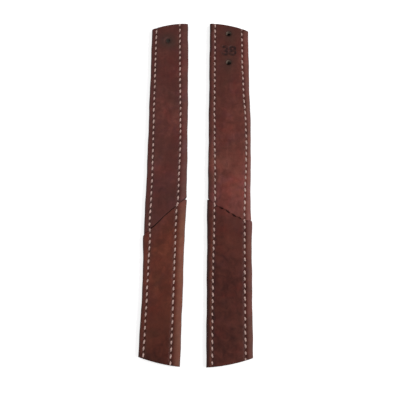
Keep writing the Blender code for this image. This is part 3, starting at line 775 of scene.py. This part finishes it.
class Layer:
    """One length of face or lining leather, worked out point by point."""

    def __init__(self, plan, half, section, spacing, shown):
        self.plan = plan
        self.half = half
        self.section = section
        self.shown = shown
        run_share, run_inset = stations(spacing)
        self.x, self.y = self.spread(run_share[:, None], run_inset[:, None])
        self.masks = {"rim": np.broadcast_to(section.rim, self.x.shape).copy()}
        self.z = self.heights()

    def cut_y(self, x, inward, outward):
        """The layer's boundary at the splice: half a gap from the cut, nicked at both edges."""
        plan = self.plan
        notch = plan.cover.notch
        nick = (notch * np.clip(1.0 - inward / (INNER_NICK_RUN * notch), 0.0, 1.0) ** 2
                + OUTER_NICK * notch * np.clip(1.0 - outward / (OUTER_NICK_RUN * notch), 0.0, 1.0) ** 2)
        wobble = waves(x, f"cut{plan.name}", CUT_WAVES)
        gap = plan.cover.splice_gap / 2 * self.openness(x)
        return plan.splice_y(x) + wobble + self.half * (gap + nick)

    def openness(self, x):
        """How far the splice stands open: on the left wider outward, on the right in short dashes."""
        plan = self.plan
        along = plan.side * (x - plan.knees[INNER])
        if plan.name == "left":
            beyond = plan.side * (x - plan.knees[OUTER])
            widening = LEFT_OPEN + LEFT_OPEN_GAIN * np.clip(along / LEFT_OPEN_RUN, 0.0, 1.0)
            return widening * (1.0 - LEFT_SHUT * np.clip(beyond / MM, 0.0, 1.0))
        dashes = 0.5 + 0.5 * np.sin(2 * math.pi * (along - DASH_START) / DASH_PITCH)
        fading = 1.0 - DASH_FADE * np.clip((along - DASH_FADE_START) / DASH_FADE_RUN, 0.0, 1.0)
        fading = fading * np.clip(along / MM, 0.0, 1.0)
        return BETWEEN_DASHES + DASH_OPEN * fading * np.clip(dashes * DASH_CONTRAST - DASH_BIAS, 0.0, 1.0)

    def spread(self, run_share, run_inset):
        """Plan place of every point, found by going to and fro between the edges and the ends."""
        plan, half, section = self.plan, self.half, self.section
        x = np.full(np.broadcast(run_share, section.share).shape, plan.line_x(0.0, 0.0))
        inward = outward = np.full(x.shape, 0.01)
        for _ in range(SETTLING_ROUNDS):
            start = self.cut_y(x, inward, outward)
            y = start + half * (run_share * np.abs(plan.end_y(half, x) - start) + run_inset)
            inner, outer = (plan.edge_x(half, edge, y) for edge in (INNER, OUTER))
            width = np.abs(outer - inner)
            inward = section.share * width + section.inset
            outward = width - inward
            x = inner + plan.side * inward
        self.inward, self.width = inward, width
        self.from_cut = half * (y - self.cut_y(x, inward, outward))
        self.from_end = half * (plan.end_y(half, x) - y)
        return x, y

    def heights(self):
        """Height of every point: the shown surface, rounded at the ends, or the hidden side's level."""
        plan, section = self.plan, self.section
        corner = plan.cover.edge_round
        inward = np.clip(self.inward, corner, self.width - corner)
        outward = self.width - inward
        x = plan.edge_x(self.half, INNER, self.y) + plan.side * inward
        rise, crease = self.surface(x, self.y, inward, outward)
        for distance in (self.from_cut, self.from_end):
            near = np.clip(1.0 - distance / END_ROUND, 0.0, 1.0)
            rise = rise - END_DROP * (1.0 - np.sqrt(1.0 - near ** 2))
        # Painted shade along the splice, darker where the cut stands open
        strength, width = CUT_SHADE
        gaping = strength * np.clip(self.openness(self.x), LEAST_OPEN_SHADE, 1.0)
        crease = np.maximum(crease, gaping * np.clip(1.0 - self.from_cut / width, 0.0, 1.0))
        shown = np.isnan(section.level)
        self.masks["crease"] = np.where(shown, crease, 0.0)
        if self.shown > 0:
            level = plan.top + rise - section.drop
        else:
            level = np.maximum(section.drop - rise, FLOOR_CLEARANCE)
        return np.where(shown, level, np.nan_to_num(section.level))

    def surface(self, x, y, inward, outward, dents=True):
        """Rise of the shown surface over its level, and how dark the painted shade in its creases is.

        It has a crown, rolled margins, stitch channels, dents at the holes and the hand's unevenness.
        """
        plan, half = self.plan, self.half
        sizes, sewing = plan.sizes, plan.sewing
        margins = {INNER: (inward, sizes.inner_margin, sizes.inner_fall),
                   OUTER: (outward, sizes.outer_margin, sizes.outer_fall)}
        rows = {row: plan.row_x(half, row, y) for row in (INNER, OUTER)}
        middle = (rows[INNER] + rows[OUTER]) / 2
        across = (x - middle) / (np.abs(rows[OUTER] - rows[INNER]) / 2)
        rise = max(self.shown, 0) * plan.cover.crown * np.clip(1.0 - across ** 2, 0.0, 1.0) ** CROWN_POWER
        crease = 0.0 * x
        for row, (distance, margin, fall) in margins.items():
            if self.shown > 0:
                rise = rise - fall * np.clip(1.0 - distance / margin, 0.0, 1.0) ** ROLL_POWER
            off = x - rows[row]
            groove = sewing.groove if self.shown > 0 else sewing.back_groove
            rise = rise - groove * bell(off, GROOVE_WIDTH)
            # Painted shade along the stitch channel
            crease = np.maximum(crease, shade(GROOVE_SHADE, off))
            if dents:
                for hole_x, hole_y in plan.stitch_holes(half, row):
                    close = np.abs(y - hole_y) < PIT_REACH
                    far = np.hypot((x[close] - hole_x) / PIT_WIDTH, (y[close] - hole_y) / PIT_LENGTH)
                    rise[close] -= sewing.pit * bell(far, MM)
                    # Painted shade at each awl hole
                    crease[close] = np.maximum(crease[close], shade(PIT_SHADE, far))
        for (height, size, seed), hand in ((BROAD_RELIEF, plan.side), (FINE_RELIEF, 1)):
            rise = rise + height * relief(x, y, size, seed * hand)
        if half == UPPER and self.shown > 0:
            for hole_x, hole_y, diameter in plan.punched_holes():
                beyond = np.hypot(x - hole_x, y - hole_y) - diameter / 2
                outside = np.maximum(beyond, 0.0)
                rise = rise - RIM_DISH * bell(outside, RIM_DISH_WIDTH)
                if plan.name == "left":
                    rise = rise + plan.holes.lip * bell(beyond - plan.holes.lip_reach, plan.holes.lip_width)
                # Painted shade round each punched hole
                crease = np.maximum(crease, shade(RIM_SHADE[plan.name], outside))
        return rise, crease

    def dye(self):
        """Masks of the dye: its depth, wear, warmth and soil, with painted light. Both straps are worn on
        their right, and that wear also carries painted sheen from the key light; their left-hand sides carry
        painted shade.
        """
        plan, word = self.plan, HALF_NAMES[self.half]
        sizes = plan.sizes
        steps, wear, ridge, warmth = (getattr(sizes, f"{word}_{key}")
                                      for key in ("tones", "wear", "ridge", "warmth"))
        along = self.from_cut / (self.from_cut + self.from_end)
        left, right = (INNER, OUTER) if plan.side > 0 else (OUTER, INNER)
        rows = {row: plan.row_x(self.half, row, self.y) for row in (left, right)}
        edges = {edge: plan.edge_x(self.half, edge, self.y) for edge in (left, right)}
        beyond = (self.x - rows[right]) / (edges[right] - rows[right])
        # Right-hand margin: wear, and painted sheen where it faces the key light
        worn = np.clip((beyond - WEAR_START) / WEAR_RUN, 0.0, 1.0)
        worn = wear * (1.0 - WEAR_FADE * along) * worn * worn * (3.0 - 2.0 * worn)
        if plan.name == "left" and self.half == LOWER:
            worn = worn * ramp(self.from_cut, LEFT_WEAR_AT_CUT, LEFT_WEAR_RUN)
        # Painted highlight beside the left-hand row
        worn = worn + ridge * bell(rows[left] - RIDGE_WIDTH - self.x, RIDGE_WIDTH)
        middle = (rows[left] + rows[right]) / 2
        depth = np.interp(along, np.linspace(0.0, 1.0, len(steps)), steps)
        # Painted shade along the left-hand edge, which faces away from the key light
        edge_shade = sizes.edge_shade * (LOWER_EDGE_SHADE if self.half == LOWER else 1.0)
        depth = depth - edge_shade * np.clip(1.0 - (self.x - edges[left]) / EDGE_SHADE_RUN, 0.0, 1.0)
        # Painted light: lighter towards the right-hand row, which faces the key light
        depth = depth + sizes.slope * np.clip((self.x - middle) / (rows[right] - middle), -1.0, 1.0)
        soil = np.zeros(depth.shape)
        if self.half == UPPER:
            for hole_x, hole_y, diameter in plan.punched_holes():
                off_x, off_y = self.x - hole_x, self.y - hole_y
                far = np.hypot(off_x, off_y)
                outside = np.maximum(far - diameter / 2, 0.0)
                soil = np.maximum(soil, SOIL_AMOUNT[plan.name] * bell(outside, SOIL_REACH))
                if plan.name == "left":
                    # Painted highlight on the side of the lip that faces the light, with less soil there
                    facing = (LIP_FACING[1] * off_y + LIP_FACING[0] * off_x) / np.maximum(far, MM)
                    lip = bell(outside - plan.holes.lip_reach, plan.holes.lip_width)
                    lip = lip * np.clip(facing, 0.0, 1.0) ** LIP_FALL
                    worn = worn + plan.holes.lip_wear * lip
                    depth = depth - STAIN_DEPTH * bell(far, STAIN_REACH)
                    soil = soil * (1.0 - LIP_HIGHLIGHT_SOIL_CUT * lip)
        # Painted shade: browner and darker on the left-hand margin, away from the key light
        margin = np.clip((rows[left] - self.x) / MARGIN_WARMTH_RUN, 0.0, 1.0)
        warmth = warmth * ramp(self.from_cut, WARMTH_AT_CUT, WARMTH_RUN) * (1.0 + SHADE_SIDE_WARMTH * margin)
        return {"tone": depth, "worn": worn, "warmth": warmth, "soil": soil}

    def points(self):
        return np.stack((self.x + self.plan.shift[0], self.y + self.plan.shift[1], self.z), axis=-1)


# Modelling steps

def deselect():
    bpy.ops.object.select_all(action="DESELECT")


def select(piece):
    deselect()
    piece.select_set(True)
    bpy.context.view_layer.objects.active = piece


def rolled_grid(name, points, masks):
    """A flat grid rolled into a closed tube through rows of points, with caps on both ends."""
    rows, columns = points.shape[:2]
    deselect()
    bpy.ops.mesh.primitive_grid_add(x_subdivisions=columns - 1, y_subdivisions=rows - 1, size=2.0)
    piece = bpy.context.object
    piece.name = piece.data.name = name
    mesh = piece.data
    if len(mesh.vertices) != rows * columns:
        raise RuntimeError(f"{name}: the grid has {len(mesh.vertices)} points instead of {rows * columns}")
    flat = np.empty(len(mesh.vertices) * 3)
    mesh.vertices.foreach_get("co", flat)
    flat = flat.reshape(-1, 3)
    column = np.rint((flat[:, 0] + 1) / 2 * (columns - 1)).astype(int)
    row = np.rint((flat[:, 1] + 1) / 2 * (rows - 1)).astype(int)
    mesh.vertices.foreach_set("co", points[row, column].ravel())
    for key, values in masks.items():
        attribute = mesh.attributes.new(key, "FLOAT", "POINT")
        attribute.data.foreach_set("value", values[row, column].astype(np.float32))
    mesh.update()
    bpy.ops.object.mode_set(mode="EDIT")
    bpy.ops.mesh.select_all(action="SELECT")
    bpy.ops.mesh.remove_doubles(threshold=MERGE_DISTANCE)
    bpy.ops.mesh.select_all(action="DESELECT")
    bpy.ops.mesh.select_mode(type="EDGE")
    bpy.ops.mesh.select_non_manifold()
    bpy.ops.mesh.fill_holes(sides=0)
    bpy.ops.mesh.select_all(action="SELECT")
    bpy.ops.mesh.normals_make_consistent(inside=False)
    bpy.ops.mesh.select_mode(type="VERT")
    bpy.ops.object.mode_set(mode="OBJECT")
    return piece


def drill(piece, plan, x, y, diameter, low, high, finish):
    """Punches one hole with a tapered punch, held a little aslant, and narrower below than above."""
    top, foot = plan.top + PUNCH_OVERRUN, -PUNCH_OVERRUN
    middle = (top + foot) / 2
    over = plan.top - middle
    lean_x, lean_y = PUNCH_LEAN
    deselect()
    bpy.ops.mesh.primitive_cone_add(
        vertices=PUNCH_SIDES, radius1=diameter * PUNCH_FOOT, radius2=diameter * PUNCH_HEAD, depth=top - foot,
        location=(x + plan.shift[0] + lean_x * over, y + plan.shift[1] - lean_y * over, middle),
        rotation=(-lean_y, -lean_x, 0.0))
    cutter = bpy.context.object
    bpy.ops.object.transform_apply(location=True, rotation=True, scale=True)
    bpy.ops.object.mode_set(mode="EDIT")
    for level, outer, inner in ((low, False, True), (high, True, False)):
        bpy.ops.mesh.select_all(action="SELECT")
        bpy.ops.mesh.bisect(plane_co=(0.0, 0.0, level), plane_no=(0.0, 0.0, 1.0), use_fill=True,
                            clear_outer=outer, clear_inner=inner)
    bpy.ops.object.mode_set(mode="OBJECT")
    cutter.data.materials.append(finish_of(finish))
    select(piece)
    hole = piece.modifiers.new("hole", "BOOLEAN")
    hole.object = cutter
    hole.solver = "EXACT"
    hole.material_mode = "TRANSFER"
    bpy.ops.object.modifier_apply(modifier=hole.name)
    bpy.data.objects.remove(cutter, do_unlink=True)
    if low < plan.seam:
        clean(piece)


def clean(piece):
    """Drops the slivers that punching leaves, and cuts every face into triangles."""
    select(piece)
    bpy.ops.object.mode_set(mode="EDIT")
    bpy.ops.mesh.select_all(action="SELECT")
    bpy.ops.mesh.remove_doubles(threshold=MERGE_DISTANCE)
    bpy.ops.mesh.dissolve_degenerate(threshold=MERGE_DISTANCE)
    bpy.ops.mesh.select_all(action="SELECT")
    bpy.ops.mesh.quads_convert_to_tris(quad_method="BEAUTY", ngon_method="BEAUTY")
    bpy.ops.object.mode_set(mode="OBJECT")


def punch(piece, plan, low, high, finish):
    """Drills a strap's punched holes through one piece, from one height to another."""
    for x, y, diameter in plan.punched_holes():
        drill(piece, plan, x, y, diameter, low, high, finish)


def smooth(piece, degrees):
    select(piece)
    bpy.ops.object.shade_smooth_by_angle(angle=math.radians(degrees))


def bend_zone(name):
    """Where the bend starts and ends along a strap, from the joint that bends it."""
    joint = next(one for one in frame["joints"] if one["name"] == f"{name}_bend")
    x, y, z = joint["pos_m"]
    return (x, y + BEND_ABOVE, z), (x, y - BEND_BELOW, z)


def hand_over(piece, plan, node):
    """The piece stands for its CAD node, which is hidden, and its place is baked into its mesh."""
    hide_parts(node)
    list(bend_zone(plan.name))
    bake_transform(piece)


def press_number(piece, plan):
    """Stamps a plain number into the face leather, half way between the punched holes."""
    holes = plan.holes
    (x1, y1, _), (x2, y2, _) = plan.punched_holes()
    x, y = (x1 + x2) / 2 + plan.shift[0], (y1 + y2) / 2 + plan.shift[1] - STAMP_DROP
    deselect()
    bpy.ops.object.text_add(location=(x, y, 0.0))
    text = bpy.context.object
    text.data.body = holes.number
    text.data.align_x = "CENTER"
    text.data.align_y = "CENTER"
    text.data.size = holes.number_height / CAP_HEIGHT
    text.data.offset = STROKE_GROWTH
    bpy.ops.object.convert(target="MESH")
    text = bpy.context.object
    spots = [text.matrix_world @ vertex.co for vertex in text.data.vertices]
    glyphs = BVHTree.FromPolygons(spots, [tuple(face.vertices) for face in text.data.polygons])
    bpy.data.objects.remove(text, do_unlink=True)
    mesh = piece.data

    def stamped(spot):
        """Whether a spot lies on the shown side, near the number."""
        return (abs(spot[0] - x) <= STAMP_REACH and abs(spot[1] - y) <= STAMP_REACH
                and spot[2] >= plan.top - MM)

    select(piece)
    bpy.ops.object.mode_set(mode="EDIT")
    bpy.ops.mesh.select_all(action="DESELECT")
    bpy.ops.object.mode_set(mode="OBJECT")
    for face in mesh.polygons:
        face.select = stamped(face.center)
    bpy.ops.object.mode_set(mode="EDIT")
    bpy.ops.mesh.select_mode(type="FACE")
    bpy.ops.mesh.subdivide(number_cuts=STAMP_CUTS)
    bpy.ops.mesh.select_mode(type="VERT")
    bpy.ops.object.mode_set(mode="OBJECT")
    stamp = mesh.attributes.new("stamp", "FLOAT", "POINT")
    probes = [(0.0, 0.0)] + [(STAMP_SOFTNESS * math.cos(turn), STAMP_SOFTNESS * math.sin(turn))
                             for turn in np.linspace(0.0, 2 * math.pi, STAMP_PROBES, endpoint=False)]
    for vertex in filter(lambda one: stamped(one.co), mesh.vertices):
        vx, vy, _ = vertex.co
        hits = sum(glyphs.find_nearest((vx + dx, vy + dy, 0.0))[3] < STROKE_GROWTH for dx, dy in probes)
        pressed = hits / len(probes)
        stamp.data[vertex.index].value = pressed
        vertex.co.z -= holes.number_depth * pressed


def strand_points(layers, row, strand):
    """Path of one strand of a saddle stitch, from end to end of the strap, cut in two at the splice.

    The strand changes sides of the strap at every hole. The second one lies on the face over the splice.
    """
    plan = layers[UPPER].plan
    sewing = plan.sewing
    upper = plan.stitch_holes(UPPER, row)[::-1]
    holes = upper + plan.stitch_holes(LOWER, row)
    for half, at in ((UPPER, 0), (LOWER, len(holes) + 1)):
        y = holes[min(at, len(holes) - 1)][1] + half * sewing.pitch
        holes.insert(at, (plan.row_x(half, row, y), y))
    path = []
    for number, (start, stop) in enumerate(zip(holes, holes[1:])):
        front = ((number - len(upper)) % 2 == 0) == (strand == 1)
        sway = plan.side * sewing.slant / 2 * (1 if front else -1)
        power = FRONT_DIVE_POWER if front else BACK_DIVE_POWER
        for step in np.linspace(0.0, 1.0, STITCH_STEPS, endpoint=False):
            half = UPPER if number + step < len(upper) + 0.5 else LOWER
            path.append((start[0] + (stop[0] - start[0]) * step + sway * (2 * step - 1),
                         start[1] + (stop[1] - start[1]) * step, half, front,
                         sewing.dive * abs(2 * step - 1) ** power))
    found = {}
    for half, layer in layers.items():
        near = [index for index, point in enumerate(path)
                if point[2] == half
                and half * (plan.end_y(half, point[0]) - point[1]) > STRAND_END_MARGIN]
        if half == UPPER:
            near.append(near[-1] + 1)
        x, y = (np.array([path[index][axis] for index in near]) for axis in (0, 1))
        inner, outer = (plan.edge_x(half, edge, y) for edge in (INNER, OUTER))
        rise, _ = layer.surface(x, y, np.abs(x - inner), np.abs(outer - x), dents=False)
        rise = rise - np.maximum(waves(y, f"pull{plan.name}{row}", PULL_WAVES), LEAST_PULL)
        over = plan.top + sewing.thread * FRONT_LIE
        under = sewing.thread * BACK_LIE
        z = [over + lift - path[index][4] if path[index][3] else under + path[index][4]
             for index, lift in zip(near, rise)]
        found[half] = list(zip(x + plan.shift[0], y + plan.shift[1], z))
    return found


def ply_profile(radius):
    """Cross-section of the thread: three plies."""
    curve = bpy.data.curves.new("thread_plies", "CURVE")
    curve.dimensions = "2D"
    spline = curve.splines.new("POLY")
    spline.points.add(PLY_POINTS - 1)
    spline.use_cyclic_u = True
    for number, point in enumerate(spline.points):
        turn = 2 * math.pi * number / PLY_POINTS
        reach = radius * (1.0 - PLY_DEPTH + PLY_DEPTH * math.cos(3 * turn))
        point.co = (reach * math.cos(turn), reach * math.sin(turn), 0.0, 1.0)
    profile = bpy.data.objects.new("thread_plies", curve)
    bpy.context.scene.collection.objects.link(profile)
    return profile


def sewn_strand(name, points, profile, lay):
    """A twisted thread along a path, as a closed mesh."""
    curve = bpy.data.curves.new(name, "CURVE")
    curve.dimensions = "3D"
    curve.twist_mode = "MINIMUM"
    curve.bevel_mode = "OBJECT"
    curve.bevel_object = profile
    curve.use_fill_caps = True
    spline = curve.splines.new("POLY")
    spline.points.add(len(points) - 1)
    run = 0.0
    before = Vector(points[0])
    for point, place in zip(spline.points, points):
        run += (Vector(place) - before).length
        before = Vector(place)
        point.co = (*place, 1.0)
        point.tilt = 2 * math.pi * run / lay
    piece = bpy.data.objects.new(name, curve)
    bpy.context.scene.collection.objects.link(piece)
    select(piece)
    bpy.ops.object.convert(target="MESH")
    piece = bpy.context.object
    bpy.ops.object.mode_set(mode="EDIT")
    bpy.ops.mesh.select_all(action="SELECT")
    bpy.ops.mesh.remove_doubles(threshold=MERGE_DISTANCE)
    bpy.ops.mesh.normals_make_consistent(inside=False)
    bpy.ops.object.mode_set(mode="OBJECT")
    return piece


def hidden_side(plan, shown, middle):
    """Points of a layer's hidden side: its rounded corners at the seam, and what lies between them."""
    corner = plan.seam + shown * HIDDEN_ROUND
    return [(1.0, -HIDDEN_INSET, corner), (1.0, -HIDDEN_ROUND, plan.seam), *middle,
            (0.0, HIDDEN_ROUND, plan.seam), (0.0, HIDDEN_INSET, corner)]


def shown_layer(plan, half):
    """The face leather of one length, before it becomes a mesh."""
    hidden = hidden_side(plan, 1, [(part, 0.0, plan.seam) for part in SEAM_COLUMNS])
    return Layer(plan, half, Section(plan.cover, FACE_COLUMNS, hidden), plan.cover.fineness, 1)


# Operators

class STRAPS_OT_faces(bpy.types.Operator):
    """Model the four face leathers, with their stitch channels, holes and stamped number"""
    bl_idname = "straps.faces"
    bl_label = "Face Leathers"
    bl_options = {"REGISTER", "UNDO"}

    def execute(self, context):
        for name in SIDES:
            plan = Plan(name)
            for half in HALF_NAMES:
                self.make(plan, half)
        return {"FINISHED"}

    def make(self, plan, half):
        node = f"{plan.name}_face_{HALF_NAMES[half]}"
        layer = shown_layer(plan, half)
        layer.masks.update(layer.dye())
        piece = rolled_grid(f"{node}_leather", layer.points(), layer.masks)
        piece.data.materials.append(finish_of("face_leather"))
        if half == UPPER and plan.name == "right":
            press_number(piece, plan)
            punch(piece, plan, plan.seam - MM, plan.top + MM, "raw_leather")
        elif half == UPPER:
            punch(piece, plan, plan.top - plan.holes.prick_depth, plan.top + MM, "soiled_leather")
        smooth(piece, LEATHER_SMOOTH)
        hand_over(piece, plan, node)


class STRAPS_OT_linings(bpy.types.Operator):
    """Model the four lining leathers, with the channel for the core web"""
    bl_idname = "straps.linings"
    bl_label = "Lining Leathers"
    bl_options = {"REGISTER", "UNDO"}

    def execute(self, context):
        for name in SIDES:
            plan = Plan(name)
            for half in HALF_NAMES:
                self.make(plan, half)
        return {"FINISHED"}

    def make(self, plan, half):
        node = f"{plan.name}_lining_{HALF_NAMES[half]}"
        room = plan.web_width() / 2 + WEB_SIDE_ROOM
        centre = plan.web_centre()
        floor = plan.web_levels[0] - WEB_FLOOR_ROOM
        channel = [(0.5, centre + room, plan.seam)]
        channel += [(0.5, centre + room * part, floor) for part in (1.0, 0.5, 0.0, -0.5, -1.0)]
        channel += [(0.5, centre - room, plan.seam)]
        section = Section(plan.cover, LINING_COLUMNS, hidden_side(plan, -1, channel))
        layer = Layer(plan, half, section, LINING_SPACING, -1)
        piece = rolled_grid(f"{node}_leather", layer.points(), layer.masks)
        piece.data.materials.append(finish_of("lining_leather"))
        if half == UPPER and plan.name == "right":
            punch(piece, plan, -MM, plan.seam + MM, "raw_leather")
        smooth(piece, LEATHER_SMOOTH)
        hand_over(piece, plan, node)


class STRAPS_OT_webs(bpy.types.Operator):
    """Model the two core webs, which run through the splices"""
    bl_idname = "straps.webs"
    bl_label = "Core Webs"
    bl_options = {"REGISTER", "UNDO"}

    def execute(self, context):
        for name in SIDES:
            self.make(Plan(name))
        return {"FINISHED"}

    def make(self, plan):
        low, high = plan.web_levels
        reach = plan.web_width() / 2
        middle = (low + high) / 2
        half_thick = (high - low) / 2
        section = []
        for turn in np.linspace(0.0, 2 * math.pi, WEB_POINTS, endpoint=False):
            across, up = math.cos(turn), math.sin(turn)
            rib = 1.0 + WARP_DEPTH * math.cos(WARP_RIBS * turn)
            section.append((math.copysign(abs(across) ** WEB_SIDE_POWER, across) * reach,
                            math.copysign(abs(up) ** WEB_FACE_POWER, up) * half_thick * min(rib, 1.0)))
        section.append(section[0])
        run = np.linspace(0.0, 1.0, WEB_STATIONS)
        points = np.empty((len(run), len(section), 3))
        for number, (off, rise) in enumerate(section):
            outward = plan.web_centre() + off
            y_low, y_high = (plan.meet(lambda y: plan.line_x(y, outward),
                                       lambda x, half=half: plan.end_y(half, x)) for half in (LOWER, UPPER))
            y = y_low + (y_high - y_low) * run
            points[:, number, 0] = plan.line_x(y, outward) + plan.shift[0]
            points[:, number, 1] = y + plan.shift[1]
            points[:, number, 2] = middle + rise * (1.0 - WEFT_DEPTH * np.cos(2 * math.pi * y / WEFT_PITCH))
        node = f"{plan.name}_core_web"
        piece = rolled_grid(f"{node}_tape", points, {})
        piece.data.materials.append(finish_of("core_web"))
        if plan.name == "right":
            punch(piece, plan, 0.0, plan.top, "core_web")
        smooth(piece, WEB_SMOOTH)
        hand_over(piece, plan, node)


class STRAPS_OT_stitches(bpy.types.Operator):
    """Sew both strands of every stitch row"""
    bl_idname = "straps.stitches"
    bl_label = "Stitches"
    bl_options = {"REGISTER", "UNDO"}

    def execute(self, context):
        sewing = context.scene.strap_pair.sewing
        profile = ply_profile(sewing.thread / 2)
        for name in SIDES:
            plan = Plan(name)
            layers = {half: shown_layer(plan, half) for half in HALF_NAMES}
            for row in ROW_NAMES:
                for strand in (0, 1):
                    self.make(plan, layers, row, strand, profile, sewing.lay)
        bpy.data.objects.remove(profile, do_unlink=True)
        return {"FINISHED"}

    def make(self, plan, layers, row, strand, profile, lay):
        for half, points in strand_points(layers, row, strand).items():
            node = f"{plan.name}_{ROW_NAMES[row]}_{HALF_NAMES[half]}_strand_{strand + 1}"
            piece = sewn_strand(f"{node}_thread", points, profile, lay)
            piece.data.materials.append(finish_of("waxed_thread"))
            smooth(piece, THREAD_SMOOTH)
            hand_over(piece, plan, node)


class STRAPS_OT_stage(bpy.types.Operator):
    """Set up the floor, the light and the camera"""
    bl_idname = "straps.stage"
    bl_label = "Stage"
    bl_options = {"REGISTER", "UNDO"}

    def execute(self, context):
        scene = context.scene
        stage = scene.strap_pair.stage
        deselect()
        bpy.ops.mesh.primitive_plane_add(size=FLOOR_SIZE)
        floor = context.object
        floor.name = "floor"
        floor.data.materials.append(finish_of("plain_floor"))
        self.sky(scene, stage.sky)
        self.lamp("key_light", stage.key, KEY_SIZE, KEY_PLACE)
        self.lamp("fill_light", stage.fill, FILL_SIZE, FILL_PLACE)
        scene.view_settings.view_transform = "Standard"
        x, y = stage.aim
        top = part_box("right_face_upper")[1][2]
        away = stage.distance
        bpy.ops.object.camera_add(
            location=(x, y - away * math.sin(stage.tilt), top + away * math.cos(stage.tilt)),
            rotation=(stage.tilt, 0.0, 0.0))
        camera = context.object
        camera.name = "camera"
        camera.data.lens = stage.focal
        camera.data.sensor_width = SENSOR_WIDTH
        camera.data.clip_start = NEAR_CLIP
        scene.camera = camera
        return {"FINISHED"}

    def lamp(self, name, power, size, place):
        bpy.ops.object.light_add(type="AREA", location=place)
        lamp = bpy.context.object
        lamp.name = name
        lamp.data.energy = power
        lamp.data.size = size
        lamp.rotation_euler = (-Vector(place)).to_track_quat("-Z", "Y").to_euler()

    def sky(self, scene, strength):
        """Even pale light, and white where the camera looks past the floor."""
        world = bpy.data.worlds.new("pale_sky")
        world.use_nodes = True
        scene.world = world
        nodes, links = world.node_tree.nodes, world.node_tree.links
        background = nodes["Background"]
        background.inputs["Color"].default_value = (1.0, 1.0, 1.0, 1.0)
        path = nodes.new("ShaderNodeLightPath")
        seen = nodes.new("ShaderNodeMapRange")
        seen.inputs["To Min"].default_value = strength
        seen.inputs["To Max"].default_value = 1.0
        links.new(path.outputs["Is Camera Ray"], seen.inputs["Value"])
        links.new(seen.outputs["Result"], background.inputs["Strength"])


class STRAPS_PT_pair(bpy.types.Panel):
    """Steps and sizes of the strap pair"""
    bl_idname = "STRAPS_PT_pair"
    bl_label = "Stitched Strap Pair"
    bl_space_type = "VIEW_3D"
    bl_region_type = "UI"
    bl_category = "Straps"

    def draw(self, context):
        layout = self.layout
        for step in STEPS:
            layout.operator(step.bl_idname)
        pair = context.scene.strap_pair
        for key in ("left", "right", "cover", "sewing", "holes", "colours", "stage"):
            group = getattr(pair, key)
            box = layout.box()
            box.label(text=key.capitalize())
            for field in group.__annotations__:
                box.prop(group, field)


STEPS = (STRAPS_OT_faces, STRAPS_OT_linings, STRAPS_OT_webs, STRAPS_OT_stitches, STRAPS_OT_stage)
CLASSES = (STRAPS_PG_left, STRAPS_PG_right, STRAPS_PG_cover, STRAPS_PG_sewing, STRAPS_PG_holes,
           STRAPS_PG_colours, STRAPS_PG_stage, STRAPS_PG_pair, *STEPS, STRAPS_PT_pair)


def register():
    for item in CLASSES:
        bpy.utils.register_class(item)
    bpy.types.Scene.strap_pair = bpy.props.PointerProperty(type=STRAPS_PG_pair)


def unregister():
    del bpy.types.Scene.strap_pair
    for item in reversed(CLASSES):
        bpy.utils.unregister_class(item)


def main():
    register()
    bpy.ops.straps.faces()
    bpy.ops.straps.linings()
    bpy.ops.straps.webs()
    bpy.ops.straps.stitches()
    bpy.ops.straps.stage()


if __name__ == "__main__":
    main()
